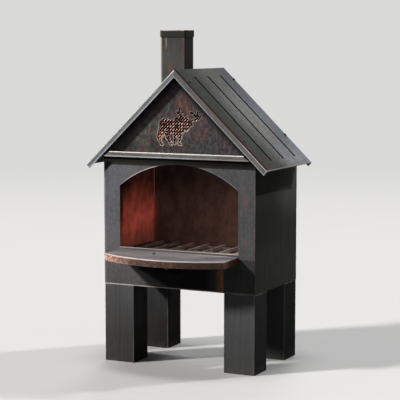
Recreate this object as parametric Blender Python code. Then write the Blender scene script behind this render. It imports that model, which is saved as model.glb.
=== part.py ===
"""A sheet-steel chiminea in the shape of a small cabin, in metres, +Z up.

The pieces are placed about the middle of the firebox at ground level. They hang on one empty, which
moves them back so that the origin lies under the middle of the whole object, hearth shelf included.
X runs to the right as seen from the front, and Y runs to the back.
"""

import math

import bmesh
import bpy
from mathutils import Matrix, Vector

MM = 0.001

# Gaps and tools
TOUCH = 0.3 * MM
OVERRUN = 5 * MM
ROUND_SIDES = 12
FOLD_STEPS = 3
SHARP_ANGLE = math.radians(40)

# Sheets
SHEET = 1.5 * MM
ROOF_SHEET = 2 * MM

# Firebox shell; the gable stands on the front panel, and its upright edges are short
BODY_WIDTH = 600 * MM
BODY_DEPTH = 383 * MM
PANEL_HEIGHT = 479 * MM
GABLE_EDGE = 12.1 * MM
SIDE_FLANGE = 14 * MM

# Legs
LEG_HEIGHT = 286 * MM
LEG_WIDTH = 120 * MM
LEG_DEPTH = 108 * MM
LEG_CORNER = 4 * MM
LEG_TOP_FOLD = 1.4 * MM
FOOT_FLANGE = 15 * MM

# Fire opening
OPENING_WIDTH = 470 * MM
SILL_RISE = 140 * MM
JAMB_HEIGHT = 223 * MM
ARCH_RISE = 84 * MM
ARCH_STEPS = 24
LIP_DEPTH = 8 * MM
LIP_FOLD = 1.4 * MM

# Roof; the eave overhang is level, and the grooves' margins run down the slope and in from its edges
ROOF_PITCH = math.radians(44)
EAVE_OVERHANG = 57.5 * MM
FRONT_OVERHANG = 29.5 * MM
REAR_OVERHANG = 5.5 * MM
RAKE_DEPTH = 20 * MM
RAKE_FOLD = 2.5 * MM
GROOVE_COUNT = 3
GROOVE_WIDTH = 7 * MM
GROOVE_DEPTH = 1.4 * MM
GROOVE_END_FLAT = 0.4 * MM
GROOVE_MARGIN = 40 * MM
GROOVE_FRONT_MARGIN = 106 * MM
GROOVE_REAR_MARGIN = 94 * MM
GABLE_FLANGE = 14 * MM
RIDGE_ANGLE_LEG = 25 * MM

# Crossbar between front panel and gable
CROSSBAR_REACH = 24.5 * MM
CROSSBAR_HEIGHT = 19 * MM
CROSSBAR_INSET = 12 * MM
CROSSBAR_MITRE = 25.5 * MM
CROSSBAR_LIP = 7 * MM
CROSSBAR_FOLD = 1.4 * MM

# Moose cut-out and the mesh behind it
MOOSE_WIDTH = 179 * MM
MOOSE_HEIGHT = 141 * MM
MOOSE_RISE = 35 * MM
MOOSE_LEFT = -82 * MM
MESH_MARGIN = 9 * MM
MESH_SHEET = 1.2 * MM
MESH_STRAND = 2.4 * MM
MESH_CELL_WIDTH = 24 * MM
MESH_CELL_HEIGHT = 16 * MM

# Chimney
CHIMNEY_WIDTH = 99 * MM
CHIMNEY_DEPTH = 72 * MM
CHIMNEY_OFFSET = 98 * MM
CHIMNEY_RISE = 138.5 * MM
CHIMNEY_CORNER = 4 * MM
CHIMNEY_TAIL = 8 * MM
BAND_HEIGHT = 24.5 * MM
BAND_THICKNESS = 3 * MM
FLANGE_WIDTH = 25 * MM
FLUE_CLEARANCE = 0.8 * MM

# Hearth shelf, as wide as the fire opening
SHELF_DROP = 8.5 * MM
SHELF_SIDE = 112 * MM
SHELF_BOW = 72 * MM
SHELF_RIM = 26 * MM
SHELF_SHEET = 2 * MM
SHELF_FOLD = 1.8 * MM
SHELF_STEPS = 24

# Brace under the shelf
BRACE_WIDTH = 86 * MM
BRACE_REACH = 105 * MM
BRACE_DROP = 72 * MM
BRACE_NOSE = 16 * MM
BRACE_BOLT_SIDE = 63 * MM
BRACE_BOLT_REACH = 66 * MM

# Floors
BASE_RIM = 20 * MM
FLOOR_DROP = 45 * MM
FLOOR_RIM = 15 * MM
FLOOR_SETBACK = 12 * MM
RAIL_LEG = 20 * MM
RAIL_END_GAP = 20 * MM

# Log grate, which passes through the opening
GRATE_SIDE_GAP = 35 * MM
GRATE_DEPTH = 200 * MM
GRATE_SETBACK = 60 * MM
GRATE_FOOT = 20 * MM
GRATE_FOOT_WIDTH = 14 * MM
GRATE_FOOT_INSET = 33 * MM
GRATE_RAIL_HEIGHT = 12 * MM
GRATE_RAIL_THICKNESS = 6 * MM
GRATE_RAIL_INSET = 40 * MM
GRATE_BAR = 10 * MM
GRATE_BAR_COUNT = 7

# Fasteners; an inset runs from the edge of the piece that the row of fasteners holds
HEAD_CROWN_SHARE = 0.88
SCREW_TIP = 8 * MM
ROOF_SCREW_FLATS = 9 * MM
ROOF_SCREW_HEAD = 4 * MM
ROOF_SCREW_RADIUS = 2.5 * MM
ROOF_SCREW_INSET = 63 * MM
LEG_SCREW_FLATS = 10 * MM
LEG_SCREW_HEAD = 4 * MM
LEG_SCREW_RADIUS = 3 * MM
LEG_SCREW_INSET = 29 * MM
TRIM_SCREW_FLATS = 6 * MM
TRIM_SCREW_HEAD = 2.5 * MM
TRIM_SCREW_RADIUS = 1.8 * MM
CROSSBAR_SCREW_INSET = 62.5 * MM
SHELF_BOLT_FLATS = 9 * MM
SHELF_BOLT_HEAD = 3 * MM
SHELF_BOLT_RADIUS = 2.5 * MM
SHELF_BOLT_INSET = 45 * MM
NUT_HEIGHT = 5 * MM
BOLT_TIP = 3 * MM

# Places that follow from the sizes above
FRONT = -BODY_DEPTH / 2
BACK = BODY_DEPTH / 2
HALF_WIDTH = BODY_WIDTH / 2
INNER_HALF_WIDTH = HALF_WIDTH - SHEET - TOUCH
PITCH_SIN = math.sin(ROOF_PITCH)
PITCH_COS = math.cos(ROOF_PITCH)
PITCH_TAN = math.tan(ROOF_PITCH)
BASE_TOP = LEG_HEIGHT + SHEET
SILL_HEIGHT = LEG_HEIGHT + SILL_RISE
SPRING_HEIGHT = SILL_HEIGHT + JAMB_HEIGHT
JOINT_HEIGHT = LEG_HEIGHT + PANEL_HEIGHT
RIDGE_HEIGHT = JOINT_HEIGHT + GABLE_EDGE + HALF_WIDTH * PITCH_TAN + (ROOF_SHEET + TOUCH) / PITCH_COS
CHIMNEY_TOP = RIDGE_HEIGHT + CHIMNEY_RISE
MOOSE_BASE = JOINT_HEIGHT + MOOSE_RISE
SHELF_HEIGHT = SILL_HEIGHT - SHELF_DROP
SHELF_WIDTH = OPENING_WIDTH
FLOOR_TOP = SILL_HEIGHT - FLOOR_DROP
GRATE_WIDTH = OPENING_WIDTH - 2 * GRATE_SIDE_GAP
SLOPE_LENGTH = (HALF_WIDTH + EAVE_OVERHANG) / PITCH_COS
WALL_SLOPE_LENGTH = HALF_WIDTH / PITCH_COS
ROOF_FRONT = FRONT - FRONT_OVERHANG
ROOF_BACK = BACK + REAR_OVERHANG
SHELF_FRONT = FRONT - SHELF_SIDE - SHELF_BOW
MIDDLE = -(SHELF_FRONT + ROOF_BACK) / 2


# Placing functions: an outline's two directions and its thickness, turned to face some way

def level(u, v, w):
    return Vector((u, v, w))


def upright(u, v, w):
    return Vector((u, w, v))


def sideways(u, v, w):
    return Vector((w, u, v))


def slope(side):
    """Distance down the slope from the ridge, depth, and height above the roof's face."""
    def place(s, y, n):
        x = side * (s * PITCH_COS + n * PITCH_SIN)
        return Vector((x, y, RIDGE_HEIGHT - s * PITCH_SIN + n * PITCH_COS))
    return place


def along(point, direction):
    """A matrix that sets a fastener at a point with its head towards a direction."""
    turn = Vector(direction).to_track_quat("Z", "X").to_matrix().to_4x4()
    return Matrix.Translation(point) @ turn


def placed(matrix):
    def place(u, v, w):
        return matrix @ Vector((u, v, w))
    return place


# Shapes

def skin(bm, loops, ring=False):
    """Add one closed body over loops of equal length; a ring joins its last loop to its first."""
    rows = [[bm.verts.new(point) for point in loop] for loop in loops]
    pairs = list(zip(rows, rows[1:]))
    if ring:
        pairs.append((rows[-1], rows[0]))
    else:
        bm.faces.new(rows[0][::-1])
        bm.faces.new(rows[-1])
    for low, high in pairs:
        for i in range(len(low)):
            bm.faces.new((low[i - 1], low[i], high[i], high[i - 1]))


def slab(bm, outlines, low, high, place):
    """Add a flat plate: the first outline less the others, from low to high across its plane."""
    flat = bmesh.new()
    edges = []
    for outline in outlines:
        corners = [flat.verts.new((u, v, 0)) for u, v in outline]
        edges += [flat.edges.new((corners[i - 1], corners[i])) for i in range(len(corners))]
    bmesh.ops.triangle_fill(flat, use_beauty=True, edges=edges)
    flat.verts.index_update()
    points = [vert.co.to_2d() for vert in flat.verts]
    triangles = [[vert.index for vert in face.verts] for face in flat.faces]
    flat.free()
    near = [bm.verts.new(place(u, v, low)) for u, v in points]
    far = [bm.verts.new(place(u, v, high)) for u, v in points]
    for triangle in triangles:
        bm.faces.new([near[i] for i in reversed(triangle)])
        bm.faces.new([far[i] for i in triangle])
    start = 0
    for outline in outlines:
        count = len(outline)
        for i in range(count):
            a = start + i
            b = start + (i + 1) % count
            bm.faces.new((near[a], near[b], far[b], far[a]))
        start += count


def rectangle(left, right, low, high):
    return [(left, low), (right, low), (right, high), (left, high)]


def rounded_rectangle(half_u, half_v, radius, steps=FOLD_STEPS):
    """An outline about its own middle, its corners turned in even steps."""
    points = []
    for corner in range(4):
        sign_u = (1, -1, -1, 1)[corner]
        sign_v = (1, 1, -1, -1)[corner]
        for step in range(steps + 1):
            angle = math.radians(90) * (corner + step / steps)
            u = sign_u * (half_u - radius) + radius * math.cos(angle)
            v = sign_v * (half_v - radius) + radius * math.sin(angle)
            points.append((u, v))
    return points


def fold(radius, steps=FOLD_STEPS):
    """Inset and drop of each step round the fold between a flat top and an upright wall."""
    angles = [math.radians(90) * step / steps for step in range(steps + 1)]
    return [(radius * (1 - math.sin(a)), radius * (1 - math.cos(a))) for a in angles]


def arch_outline(grow):
    """The fire opening, grown all round by a distance."""
    half = OPENING_WIDTH / 2
    radius = (half ** 2 + ARCH_RISE ** 2) / (2 * ARCH_RISE)
    centre = SPRING_HEIGHT + ARCH_RISE - radius
    reach = math.asin((half + grow) / (radius + grow))
    points = [(-half - grow, SILL_HEIGHT - grow), (half + grow, SILL_HEIGHT - grow)]
    for step in range(ARCH_STEPS + 1):
        angle = reach * (1 - 2 * step / ARCH_STEPS)
        points.append(((radius + grow) * math.sin(angle), centre + (radius + grow) * math.cos(angle)))
    return points


def shelf_outline(inset):
    """The shelf from above, drawn in all round by a distance."""
    half = SHELF_WIDTH / 2
    radius = (half ** 2 + SHELF_BOW ** 2) / (2 * SHELF_BOW)
    centre = SHELF_FRONT + radius
    reach = math.asin((half - inset) / (radius - inset))
    rear = FRONT - TOUCH - inset
    points = [(half - inset, rear), (inset - half, rear)]
    for step in range(SHELF_STEPS + 1):
        angle = reach * (2 * step / SHELF_STEPS - 1)
        points.append(((radius - inset) * math.sin(angle), centre - (radius - inset) * math.cos(angle)))
    return points


def roof_under(x, lower=0):
    """Height at x of what touches the roof's underside, or of a face that much below it."""
    return RIDGE_HEIGHT - abs(x) * PITCH_TAN - (ROOF_SHEET + TOUCH + lower) / PITCH_COS


def house_outline(bottom, half, lower=0):
    """A wall with its gable, fitted under the roof."""
    return [(-half, bottom), (half, bottom), (half, roof_under(half, lower)), (0, roof_under(0, lower)),
            (-half, roof_under(half, lower))]


# A moose that stands facing right, as shares of its width and height, clockwise from the rump
BACK_SHARES = [
    (0.050, 0.455), (0.045, 0.565), (0.075, 0.615), (0.125, 0.670), (0.185, 0.695), (0.240, 0.670),
    (0.295, 0.640), (0.355, 0.670), (0.405, 0.700), (0.455, 0.725),
]
LEFT_ANTLER_SHARES = [
    (0.475, 0.765), (0.440, 0.810), (0.415, 0.895), (0.445, 0.855), (0.470, 0.865), (0.488, 0.955),
    (0.510, 1.000), (0.535, 0.995), (0.515, 0.930), (0.508, 0.855), (0.530, 0.825), (0.570, 0.875),
    (0.590, 0.860), (0.572, 0.805), (0.548, 0.765),
]
CROWN_SHARES = [
    (0.575, 0.750), (0.600, 0.705), (0.620, 0.700), (0.635, 0.730), (0.655, 0.730), (0.675, 0.690),
    (0.735, 0.675),
]
RIGHT_ANTLER_SHARES = [
    (0.775, 0.665), (0.805, 0.673), (0.830, 0.700), (0.817, 0.745), (0.775, 0.787), (0.735, 0.813),
    (0.710, 0.853), (0.780, 0.865), (0.822, 0.830), (0.856, 0.780), (0.874, 0.797), (0.874, 0.865),
    (0.890, 0.888), (0.924, 0.863), (0.908, 0.813), (0.915, 0.773), (0.941, 0.769), (0.987, 0.815),
    (1.000, 0.786), (0.967, 0.740), (0.941, 0.685), (0.896, 0.643), (0.835, 0.634), (0.776, 0.634),
]
HEAD_SHARES = [
    (0.763, 0.610), (0.787, 0.560), (0.791, 0.520), (0.750, 0.508), (0.716, 0.460), (0.690, 0.406),
    (0.650, 0.367), (0.615, 0.390), (0.590, 0.343),
]
FRONT_LEGS_SHARES = [
    (0.562, 0.286), (0.543, 0.225), (0.525, 0.150), (0.505, 0.083), (0.540, 0.044), (0.547, 0.016),
    (0.476, 0.019), (0.463, 0.064), (0.476, 0.135), (0.463, 0.197), (0.439, 0.242), (0.414, 0.183),
    (0.408, 0.094), (0.423, 0.034), (0.363, 0.034), (0.363, 0.093), (0.368, 0.194), (0.359, 0.279),
    (0.324, 0.331),
]
HIND_LEGS_SHARES = [
    (0.284, 0.271), (0.281, 0.173), (0.317, 0.106), (0.341, 0.046), (0.332, 0.018), (0.285, 0.021),
    (0.263, 0.081), (0.210, 0.163), (0.186, 0.233), (0.172, 0.290), (0.125, 0.230), (0.087, 0.163),
    (0.098, 0.103), (0.138, 0.026), (0.131, 0.000), (0.080, 0.008), (0.056, 0.066), (0.018, 0.130),
    (0.000, 0.211), (0.014, 0.320), (0.034, 0.397),
]
MOOSE_SHARES = (BACK_SHARES + LEFT_ANTLER_SHARES + CROWN_SHARES + RIGHT_ANTLER_SHARES + HEAD_SHARES
                + FRONT_LEGS_SHARES + HIND_LEGS_SHARES)


def moose_outline():
    return [(MOOSE_LEFT + u * MOOSE_WIDTH, MOOSE_BASE + v * MOOSE_HEIGHT) for u, v in MOOSE_SHARES]


# Finishes: base colour, metallic, roughness

FINISHES = {
    "charcoal_paint": ((0.075, 0.075, 0.075), 0.35, 0.50),
    "rubbed_edge": ((0.20, 0.17, 0.15), 0.50, 0.42),
    "copper_rim": ((0.17, 0.105, 0.080), 0.45, 0.50),
    "bare_mesh": ((0.16, 0.085, 0.055), 0.60, 0.55),
    "fire_steel": ((0.040, 0.036, 0.034), 0.40, 0.70),
    "grate_iron": ((0.035, 0.033, 0.032), 0.50, 0.75),
    "dark_fastener": ((0.030, 0.030, 0.032), 0.70, 0.40),
}


def make_finish(name):
    colour, metallic, roughness = FINISHES[name]
    material = bpy.data.materials.new(name)
    material.use_nodes = True
    shader = material.node_tree.nodes["Principled BSDF"]
    shader.inputs["Base Color"].default_value = (*colour, 1)
    shader.inputs["Metallic"].default_value = metallic
    shader.inputs["Roughness"].default_value = roughness
    material.diffuse_color = (*colour, 1)
    return material


# Objects

def make_mesh(name, bm, finish):
    bmesh.ops.recalc_face_normals(bm, faces=bm.faces)
    mesh = bpy.data.meshes.new(name)
    bm.to_mesh(mesh)
    bm.free()
    mesh.shade_smooth()
    mesh.set_sharp_from_angle(angle=SHARP_ANGLE)
    mesh.materials.append(bpy.data.materials[finish])
    return mesh


def hang(name, mesh, place=None):
    """Add a named object that hangs on the part's frame, at a place of its own if it has one."""
    obj = bpy.data.objects.new(name, mesh)
    bpy.context.scene.collection.objects.link(obj)
    obj.parent = bpy.data.objects["chiminea_frame"]
    if place:
        obj.matrix_local = place
    return obj


def piece(name, bm, finish):
    return hang(name, make_mesh(name, bm, finish))


def guide(name, bm):
    """A shape that only cuts or joins."""
    obj = piece(name, bm, "fire_steel")
    obj.hide_render = True
    obj.display_type = "WIRE"
    return obj


def apply_shape(obj, tool, operation="DIFFERENCE"):
    modifier = obj.modifiers.new(tool.name, "BOOLEAN")
    modifier.operation = operation
    modifier.solver = "EXACT"
    modifier.object = tool


# Fasteners, each about a point on the face under its head, with the head towards +Z

def circle(radius, height, place=level):
    angles = [2 * math.pi * i / ROUND_SIDES for i in range(ROUND_SIDES)]
    return [place(radius * math.cos(a), radius * math.sin(a), height) for a in angles]


def hexagon(flats, height):
    """Six corners with a point in the middle of each flat, so that it meets a round loop."""
    points = []
    for i in range(ROUND_SIDES):
        angle = 2 * math.pi * i / ROUND_SIDES
        off_flat = (angle + math.radians(30)) % math.radians(60) - math.radians(30)
        radius = flats / 2 / math.cos(off_flat)
        points.append((radius * math.cos(angle), radius * math.sin(angle), height))
    return points


def bolt_mesh(name, flats, head, radius, length):
    top = TOUCH + head
    crown = flats / 2 * HEAD_CROWN_SHARE
    bm = bmesh.new()
    skin(bm, [circle(crown, top), hexagon(flats, top - (flats / 2 - crown) / 2), hexagon(flats, TOUCH),
              circle(radius, TOUCH), circle(radius, TOUCH - length)])
    return make_mesh(name, bm, "dark_fastener")


def nut_mesh(name, flats, radius, height):
    """A nut whose upper face lies a touch under its own origin."""
    bore = radius + TOUCH
    bm = bmesh.new()
    skin(bm, [circle(bore, -TOUCH), hexagon(flats, -TOUCH), hexagon(flats, -TOUCH - height),
              circle(bore, -TOUCH - height)], ring=True)
    return make_mesh(name, bm, "dark_fastener")


def add_hole(bm, matrix, radius, grip):
    place = placed(matrix)
    skin(bm, [circle(radius + TOUCH, OVERRUN, place), circle(radius + TOUCH, -grip - OVERRUN, place)])


def fit_fasteners(name, mesh, matrices, radius, grip):
    """Set copies of a bolt or screw, and return the tool that cuts their holes."""
    bm = bmesh.new()
    for number, matrix in enumerate(matrices, start=1):
        hang(f"{name}_{number}", mesh, matrix)
        add_hole(bm, matrix, radius, grip)
    return guide(f"{name}_holes", bm)


# Legs and base

def leg_middles():
    """Name, X and Y of the middle of each leg."""
    x = HALF_WIDTH - LEG_WIDTH / 2
    y = BACK - LEG_DEPTH / 2
    return [("leg_front_left", -x, -y), ("leg_front_right", x, -y), ("leg_rear_left", -x, y),
            ("leg_rear_right", x, y)]


def make_legs(base):
    """Folded tubes, closed above and turned in at the foot, each on two screws from inside the base."""
    top = LEG_HEIGHT - TOUCH
    length = 2 * SHEET + TOUCH + SCREW_TIP
    screw = bolt_mesh("leg_screw", LEG_SCREW_FLATS, LEG_SCREW_HEAD, LEG_SCREW_RADIUS, length)
    for name, x, y in leg_middles():
        def loop(inset, z, x=x, y=y):
            radius = max(LEG_CORNER - inset, TOUCH)
            outline = rounded_rectangle(LEG_WIDTH / 2 - inset, LEG_DEPTH / 2 - inset, radius)
            return [(x + u, y + v, z) for u, v in outline]

        folded = [loop(inset, top - drop) for inset, drop in fold(LEG_TOP_FOLD)]
        inside = [loop(0, 0), loop(FOOT_FLANGE, 0), loop(FOOT_FLANGE, SHEET), loop(SHEET, SHEET),
                  loop(SHEET, top - SHEET)]
        bm = bmesh.new()
        skin(bm, folded + inside)
        leg = piece(name, bm, "charcoal_paint")
        reach = LEG_WIDTH / 2 - LEG_SCREW_INSET
        spots = [along((x + side * reach, y, BASE_TOP), (0, 0, 1)) for side in (-1, 1)]
        holes = fit_fasteners(f"{name}_screw", screw, spots, LEG_SCREW_RADIUS, length)
        apply_shape(leg, holes)
        apply_shape(base, holes)


def make_tray(name, half_x, half_y, top, rim, finish):
    """A flat floor with its edges turned up."""
    def loop(inset, z):
        return [(u, v, z) for u, v in rounded_rectangle(half_x - inset, half_y - inset, LEG_CORNER - inset)]

    bm = bmesh.new()
    skin(bm, [loop(0, top - SHEET), loop(0, top + rim), loop(SHEET, top + rim), loop(SHEET, top)])
    return piece(name, bm, finish)


def make_base_and_legs():
    half_y = BACK - 2 * (SHEET + TOUCH)
    make_legs(make_tray("base_panel", INNER_HALF_WIDTH, half_y, BASE_TOP, BASE_RIM, "fire_steel"))


# Firebox walls

def make_front_panel():
    bm = bmesh.new()
    top = JOINT_HEIGHT - TOUCH
    slab(bm, [rectangle(-HALF_WIDTH, HALF_WIDTH, LEG_HEIGHT, top)], FRONT, FRONT + LIP_DEPTH, upright)
    panel = piece("front_panel", bm, "charcoal_paint")

    bm = bmesh.new()
    beyond = rectangle(-HALF_WIDTH - OVERRUN, HALF_WIDTH + OVERRUN, LEG_HEIGHT - OVERRUN, top + OVERRUN)
    slab(bm, [beyond, arch_outline(SHEET)], FRONT + SHEET, FRONT + LIP_DEPTH + OVERRUN, upright)
    apply_shape(panel, guide("front_panel_back", bm))

    def loop(grow, y):
        return [upright(u, v, y) for u, v in arch_outline(grow)]

    bm = bmesh.new()
    mouth = [loop(LIP_FOLD, FRONT - OVERRUN)]
    mouth += [loop(drop, FRONT + inset) for inset, drop in fold(LIP_FOLD)[::-1]]
    mouth += [loop(0, FRONT + LIP_DEPTH + OVERRUN)]
    skin(bm, mouth)
    apply_shape(panel, guide("fire_opening", bm))
    return panel


def make_side_panels():
    outer = HALF_WIDTH
    inner = outer - SHEET
    flange = outer - SIDE_FLANGE
    reach = BACK - SHEET - TOUCH
    section = [(outer, -reach), (outer, reach), (flange, reach), (flange, reach - SHEET),
               (inner, reach - SHEET), (inner, SHEET - reach), (flange, SHEET - reach), (flange, -reach)]
    top = roof_under(HALF_WIDTH, SHEET + TOUCH)
    for name, side in (("side_panel_left", -1), ("side_panel_right", 1)):
        bm = bmesh.new()
        slab(bm, [[(side * u, v) for u, v in section]], LEG_HEIGHT, top, level)
        piece(name, bm, "charcoal_paint")


def make_house_wall(name, bottom, near, facing):
    """A gabled sheet with roof flanges; facing is +1 where they turn towards +Y."""
    def depth(u, v, w):
        return upright(u, v, near + facing * w)

    bm = bmesh.new()
    slab(bm, [house_outline(bottom, HALF_WIDTH)], 0, GABLE_FLANGE, depth)
    wall = piece(name, bm, "charcoal_paint")
    bm = bmesh.new()
    hollow = house_outline(bottom - OVERRUN, HALF_WIDTH + OVERRUN, SHEET)
    slab(bm, [hollow], SHEET, GABLE_FLANGE + OVERRUN, depth)
    apply_shape(wall, guide(f"{name}_back", bm))
    return wall


def make_gable():
    gable = make_house_wall("gable_front", JOINT_HEIGHT + TOUCH, FRONT, 1)
    bm = bmesh.new()
    slab(bm, [moose_outline()], FRONT - OVERRUN, FRONT + SHEET + OVERRUN, upright)
    apply_shape(gable, guide("moose_hole", bm))
    return gable


def make_moose_mesh():
    """Expanded metal: a sheet with staggered diamond holes, wholly inside its plain border."""
    near = FRONT + SHEET + TOUCH
    left = MOOSE_LEFT - MESH_MARGIN
    right = MOOSE_LEFT + MOOSE_WIDTH + MESH_MARGIN
    low = MOOSE_BASE - MESH_MARGIN
    high = MOOSE_BASE + MOOSE_HEIGHT + MESH_MARGIN
    half_u = (MESH_CELL_WIDTH - MESH_STRAND * math.sqrt(2)) / 2
    half_v = (MESH_CELL_HEIGHT - MESH_STRAND * math.sqrt(2)) / 2
    rows = int((high - low - MESH_STRAND) / (MESH_CELL_HEIGHT / 2)) - 1
    holes = []
    for row in range(rows):
        v = low + MESH_STRAND + MESH_CELL_HEIGHT / 2 * (row + 1)
        shift = MESH_CELL_WIDTH / 2 * (row % 2)
        columns = int((right - left - MESH_STRAND - shift) / MESH_CELL_WIDTH)
        for column in range(columns):
            u = left + MESH_STRAND + shift + MESH_CELL_WIDTH * (column + 1 / 2)
            holes.append([(u - half_u, v), (u, v - half_v), (u + half_u, v), (u, v + half_v)])
    bm = bmesh.new()
    slab(bm, [rectangle(left, right, low, high)] + holes, near, near + MESH_SHEET, upright)
    piece("moose_mesh", bm, "bare_mesh")


def make_crossbar(panels):
    """A lipped channel over the joint, held by screws from inside, one row above it and one below."""
    rear = FRONT - TOUCH
    front = FRONT - CROSSBAR_REACH
    low = JOINT_HEIGHT - CROSSBAR_HEIGHT / 2
    high = JOINT_HEIGHT + CROSSBAR_HEIGHT / 2
    turns = fold(CROSSBAR_FOLD)
    lower = [(front + inset, low + drop) for inset, drop in turns]
    upper = [(front + inset, high - drop) for inset, drop in turns[::-1]]
    lip_low = low + SHEET + CROSSBAR_LIP
    lip_high = high - SHEET - CROSSBAR_LIP
    section = [(rear, lip_low), (rear, low)] + lower + upper
    section += [(rear, high), (rear, lip_high), (rear - SHEET, lip_high), (rear - SHEET, high - SHEET),
                (front + SHEET, high - SHEET), (front + SHEET, low + SHEET), (rear - SHEET, low + SHEET),
                (rear - SHEET, lip_low)]
    bottom_half = HALF_WIDTH - CROSSBAR_INSET
    lean = CROSSBAR_MITRE / CROSSBAR_HEIGHT

    def end(side):
        return [(side * (bottom_half - (z - low) * lean), y, z) for y, z in section]

    bm = bmesh.new()
    skin(bm, [end(-1), end(1)])
    crossbar = piece("crossbar", bm, "rubbed_edge")

    column = bottom_half - CROSSBAR_MITRE - CROSSBAR_SCREW_INSET
    rows = (low + SHEET + CROSSBAR_LIP / 2, high - SHEET - CROSSBAR_LIP / 2)
    spots = [along((side * column, FRONT + SHEET, z), (0, 1, 0)) for z in rows for side in (-1, 1)]
    grip = 2 * SHEET + TOUCH
    screw = bolt_mesh("crossbar_screw", TRIM_SCREW_FLATS, TRIM_SCREW_HEAD, TRIM_SCREW_RADIUS,
                      grip + SCREW_TIP)
    holes = fit_fasteners("crossbar_screw", screw, spots, TRIM_SCREW_RADIUS, grip)
    for obj in [crossbar] + panels:
        apply_shape(obj, holes)


def make_walls():
    front = make_front_panel()
    make_side_panels()
    rear = make_house_wall("rear_panel", LEG_HEIGHT, BACK, -1)
    gable = make_gable()
    make_moose_mesh()
    make_crossbar([front, gable])
    return front, rear, gable


# Roof

def make_roof_panel(name, side):
    """One slope with both rakes folded down, mitred at the ridge and square at the eave."""
    place = slope(side)
    turns = fold(RAKE_FOLD)
    section = [(ROOF_FRONT, -RAKE_DEPTH)]
    section += [(ROOF_FRONT + inset, -drop) for inset, drop in turns[::-1]]
    section += [(ROOF_BACK - inset, -drop) for inset, drop in turns]
    section += [(ROOF_BACK, -RAKE_DEPTH), (ROOF_BACK - ROOF_SHEET, -RAKE_DEPTH),
                (ROOF_BACK - ROOF_SHEET, -ROOF_SHEET), (ROOF_FRONT + ROOF_SHEET, -ROOF_SHEET),
                (ROOF_FRONT + ROOF_SHEET, -RAKE_DEPTH)]
    ridge = [place((TOUCH / 2 - n * PITCH_SIN) / PITCH_COS, y, n) for y, n in section]
    eave = [place(SLOPE_LENGTH, y, n) for y, n in section]
    bm = bmesh.new()
    skin(bm, [ridge, eave])
    panel = piece(name, bm, "charcoal_paint")

    bm = bmesh.new()
    half = GROOVE_WIDTH / 2
    middle = SLOPE_LENGTH / 2
    first = ROOF_FRONT + GROOVE_FRONT_MARGIN
    pitch = (ROOF_BACK - GROOVE_REAR_MARGIN - first) / (GROOVE_COUNT - 1)
    for groove in range(GROOVE_COUNT):
        y = first + groove * pitch
        ends = rounded_rectangle(middle - GROOVE_MARGIN, half, half - GROOVE_END_FLAT / 2)
        slab(bm, [[(middle + u, y + v) for u, v in ends]], -GROOVE_DEPTH, OVERRUN, place)
    apply_shape(panel, guide(f"{name}_grooves", bm))
    return panel


def make_ridge_angle():
    leg = RIDGE_ANGLE_LEG
    top = [(-leg, roof_under(leg)), (0, roof_under(0)), (leg, roof_under(leg))]
    under = [(leg, roof_under(leg, SHEET)), (0, roof_under(0, SHEET)), (-leg, roof_under(leg, SHEET))]
    bm = bmesh.new()
    reach = BACK - GABLE_FLANGE - TOUCH
    slab(bm, [top + under], -reach, reach, upright)
    piece("ridge_angle", bm, "fire_steel")


def chimney_loop(grow, z_of):
    """The chimney's outline grown by a distance, at a height or on a sloping plane."""
    outline = rounded_rectangle(CHIMNEY_WIDTH / 2 + grow, CHIMNEY_DEPTH / 2 + grow, CHIMNEY_CORNER + grow)
    return [(u - CHIMNEY_OFFSET, v, z_of(u - CHIMNEY_OFFSET)) for u, v in outline]


def make_chimney(roof_left):
    def roof_top(x):
        return RIDGE_HEIGHT - abs(x) * PITCH_TAN

    def tail(x):
        return roof_top(x) - (ROOF_SHEET + CHIMNEY_TAIL) / PITCH_COS

    def mouth(_):
        return CHIMNEY_TOP

    def band_foot(_):
        return CHIMNEY_TOP - BAND_HEIGHT

    def above(x):
        return roof_top(x) + OVERRUN * 2

    def below(x):
        return roof_top(x) - OVERRUN * 2

    bm = bmesh.new()
    skin(bm, [chimney_loop(0, tail), chimney_loop(0, mouth), chimney_loop(-SHEET, mouth),
              chimney_loop(-SHEET, tail)], ring=True)
    piece("chimney_tube", bm, "charcoal_paint")

    bm = bmesh.new()
    inner = TOUCH
    outer = TOUCH + BAND_THICKNESS
    skin(bm, [chimney_loop(inner, band_foot), chimney_loop(outer, band_foot), chimney_loop(outer, mouth),
              chimney_loop(inner, mouth)], ring=True)
    piece("chimney_band", bm, "charcoal_paint")

    place = slope(-1)
    middle = CHIMNEY_OFFSET / PITCH_COS
    half_s = CHIMNEY_WIDTH / 2 / PITCH_COS + FLANGE_WIDTH
    half_y = CHIMNEY_DEPTH / 2 + FLANGE_WIDTH
    bm = bmesh.new()
    outline = [(middle + u, v) for u, v in rounded_rectangle(half_s, half_y, CHIMNEY_CORNER)]
    slab(bm, [outline], TOUCH, TOUCH + SHEET, place)
    flange = piece("chimney_flange", bm, "charcoal_paint")

    bm = bmesh.new()
    skin(bm, [chimney_loop(TOUCH, below), chimney_loop(TOUCH, above)])
    apply_shape(flange, guide("chimney_flange_hole", bm))
    bm = bmesh.new()
    skin(bm, [chimney_loop(FLUE_CLEARANCE, below), chimney_loop(FLUE_CLEARANCE, above)])
    apply_shape(roof_left, guide("flue_hole", bm))

    screw_s = half_s - FLANGE_WIDTH / 2
    screw_y = half_y - FLANGE_WIDTH / 2
    spots = [along(place(middle + s, y, TOUCH + SHEET), (-PITCH_SIN, 0, PITCH_COS))
             for s in (-screw_s, screw_s) for y in (-screw_y, screw_y)]
    grip = SHEET + TOUCH + ROOF_SHEET
    screw = bolt_mesh("chimney_screw", TRIM_SCREW_FLATS, TRIM_SCREW_HEAD, TRIM_SCREW_RADIUS,
                      grip + SCREW_TIP)
    holes = fit_fasteners("chimney_screw", screw, spots, TRIM_SCREW_RADIUS, grip)
    apply_shape(flange, holes)
    apply_shape(roof_left, holes)


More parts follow.
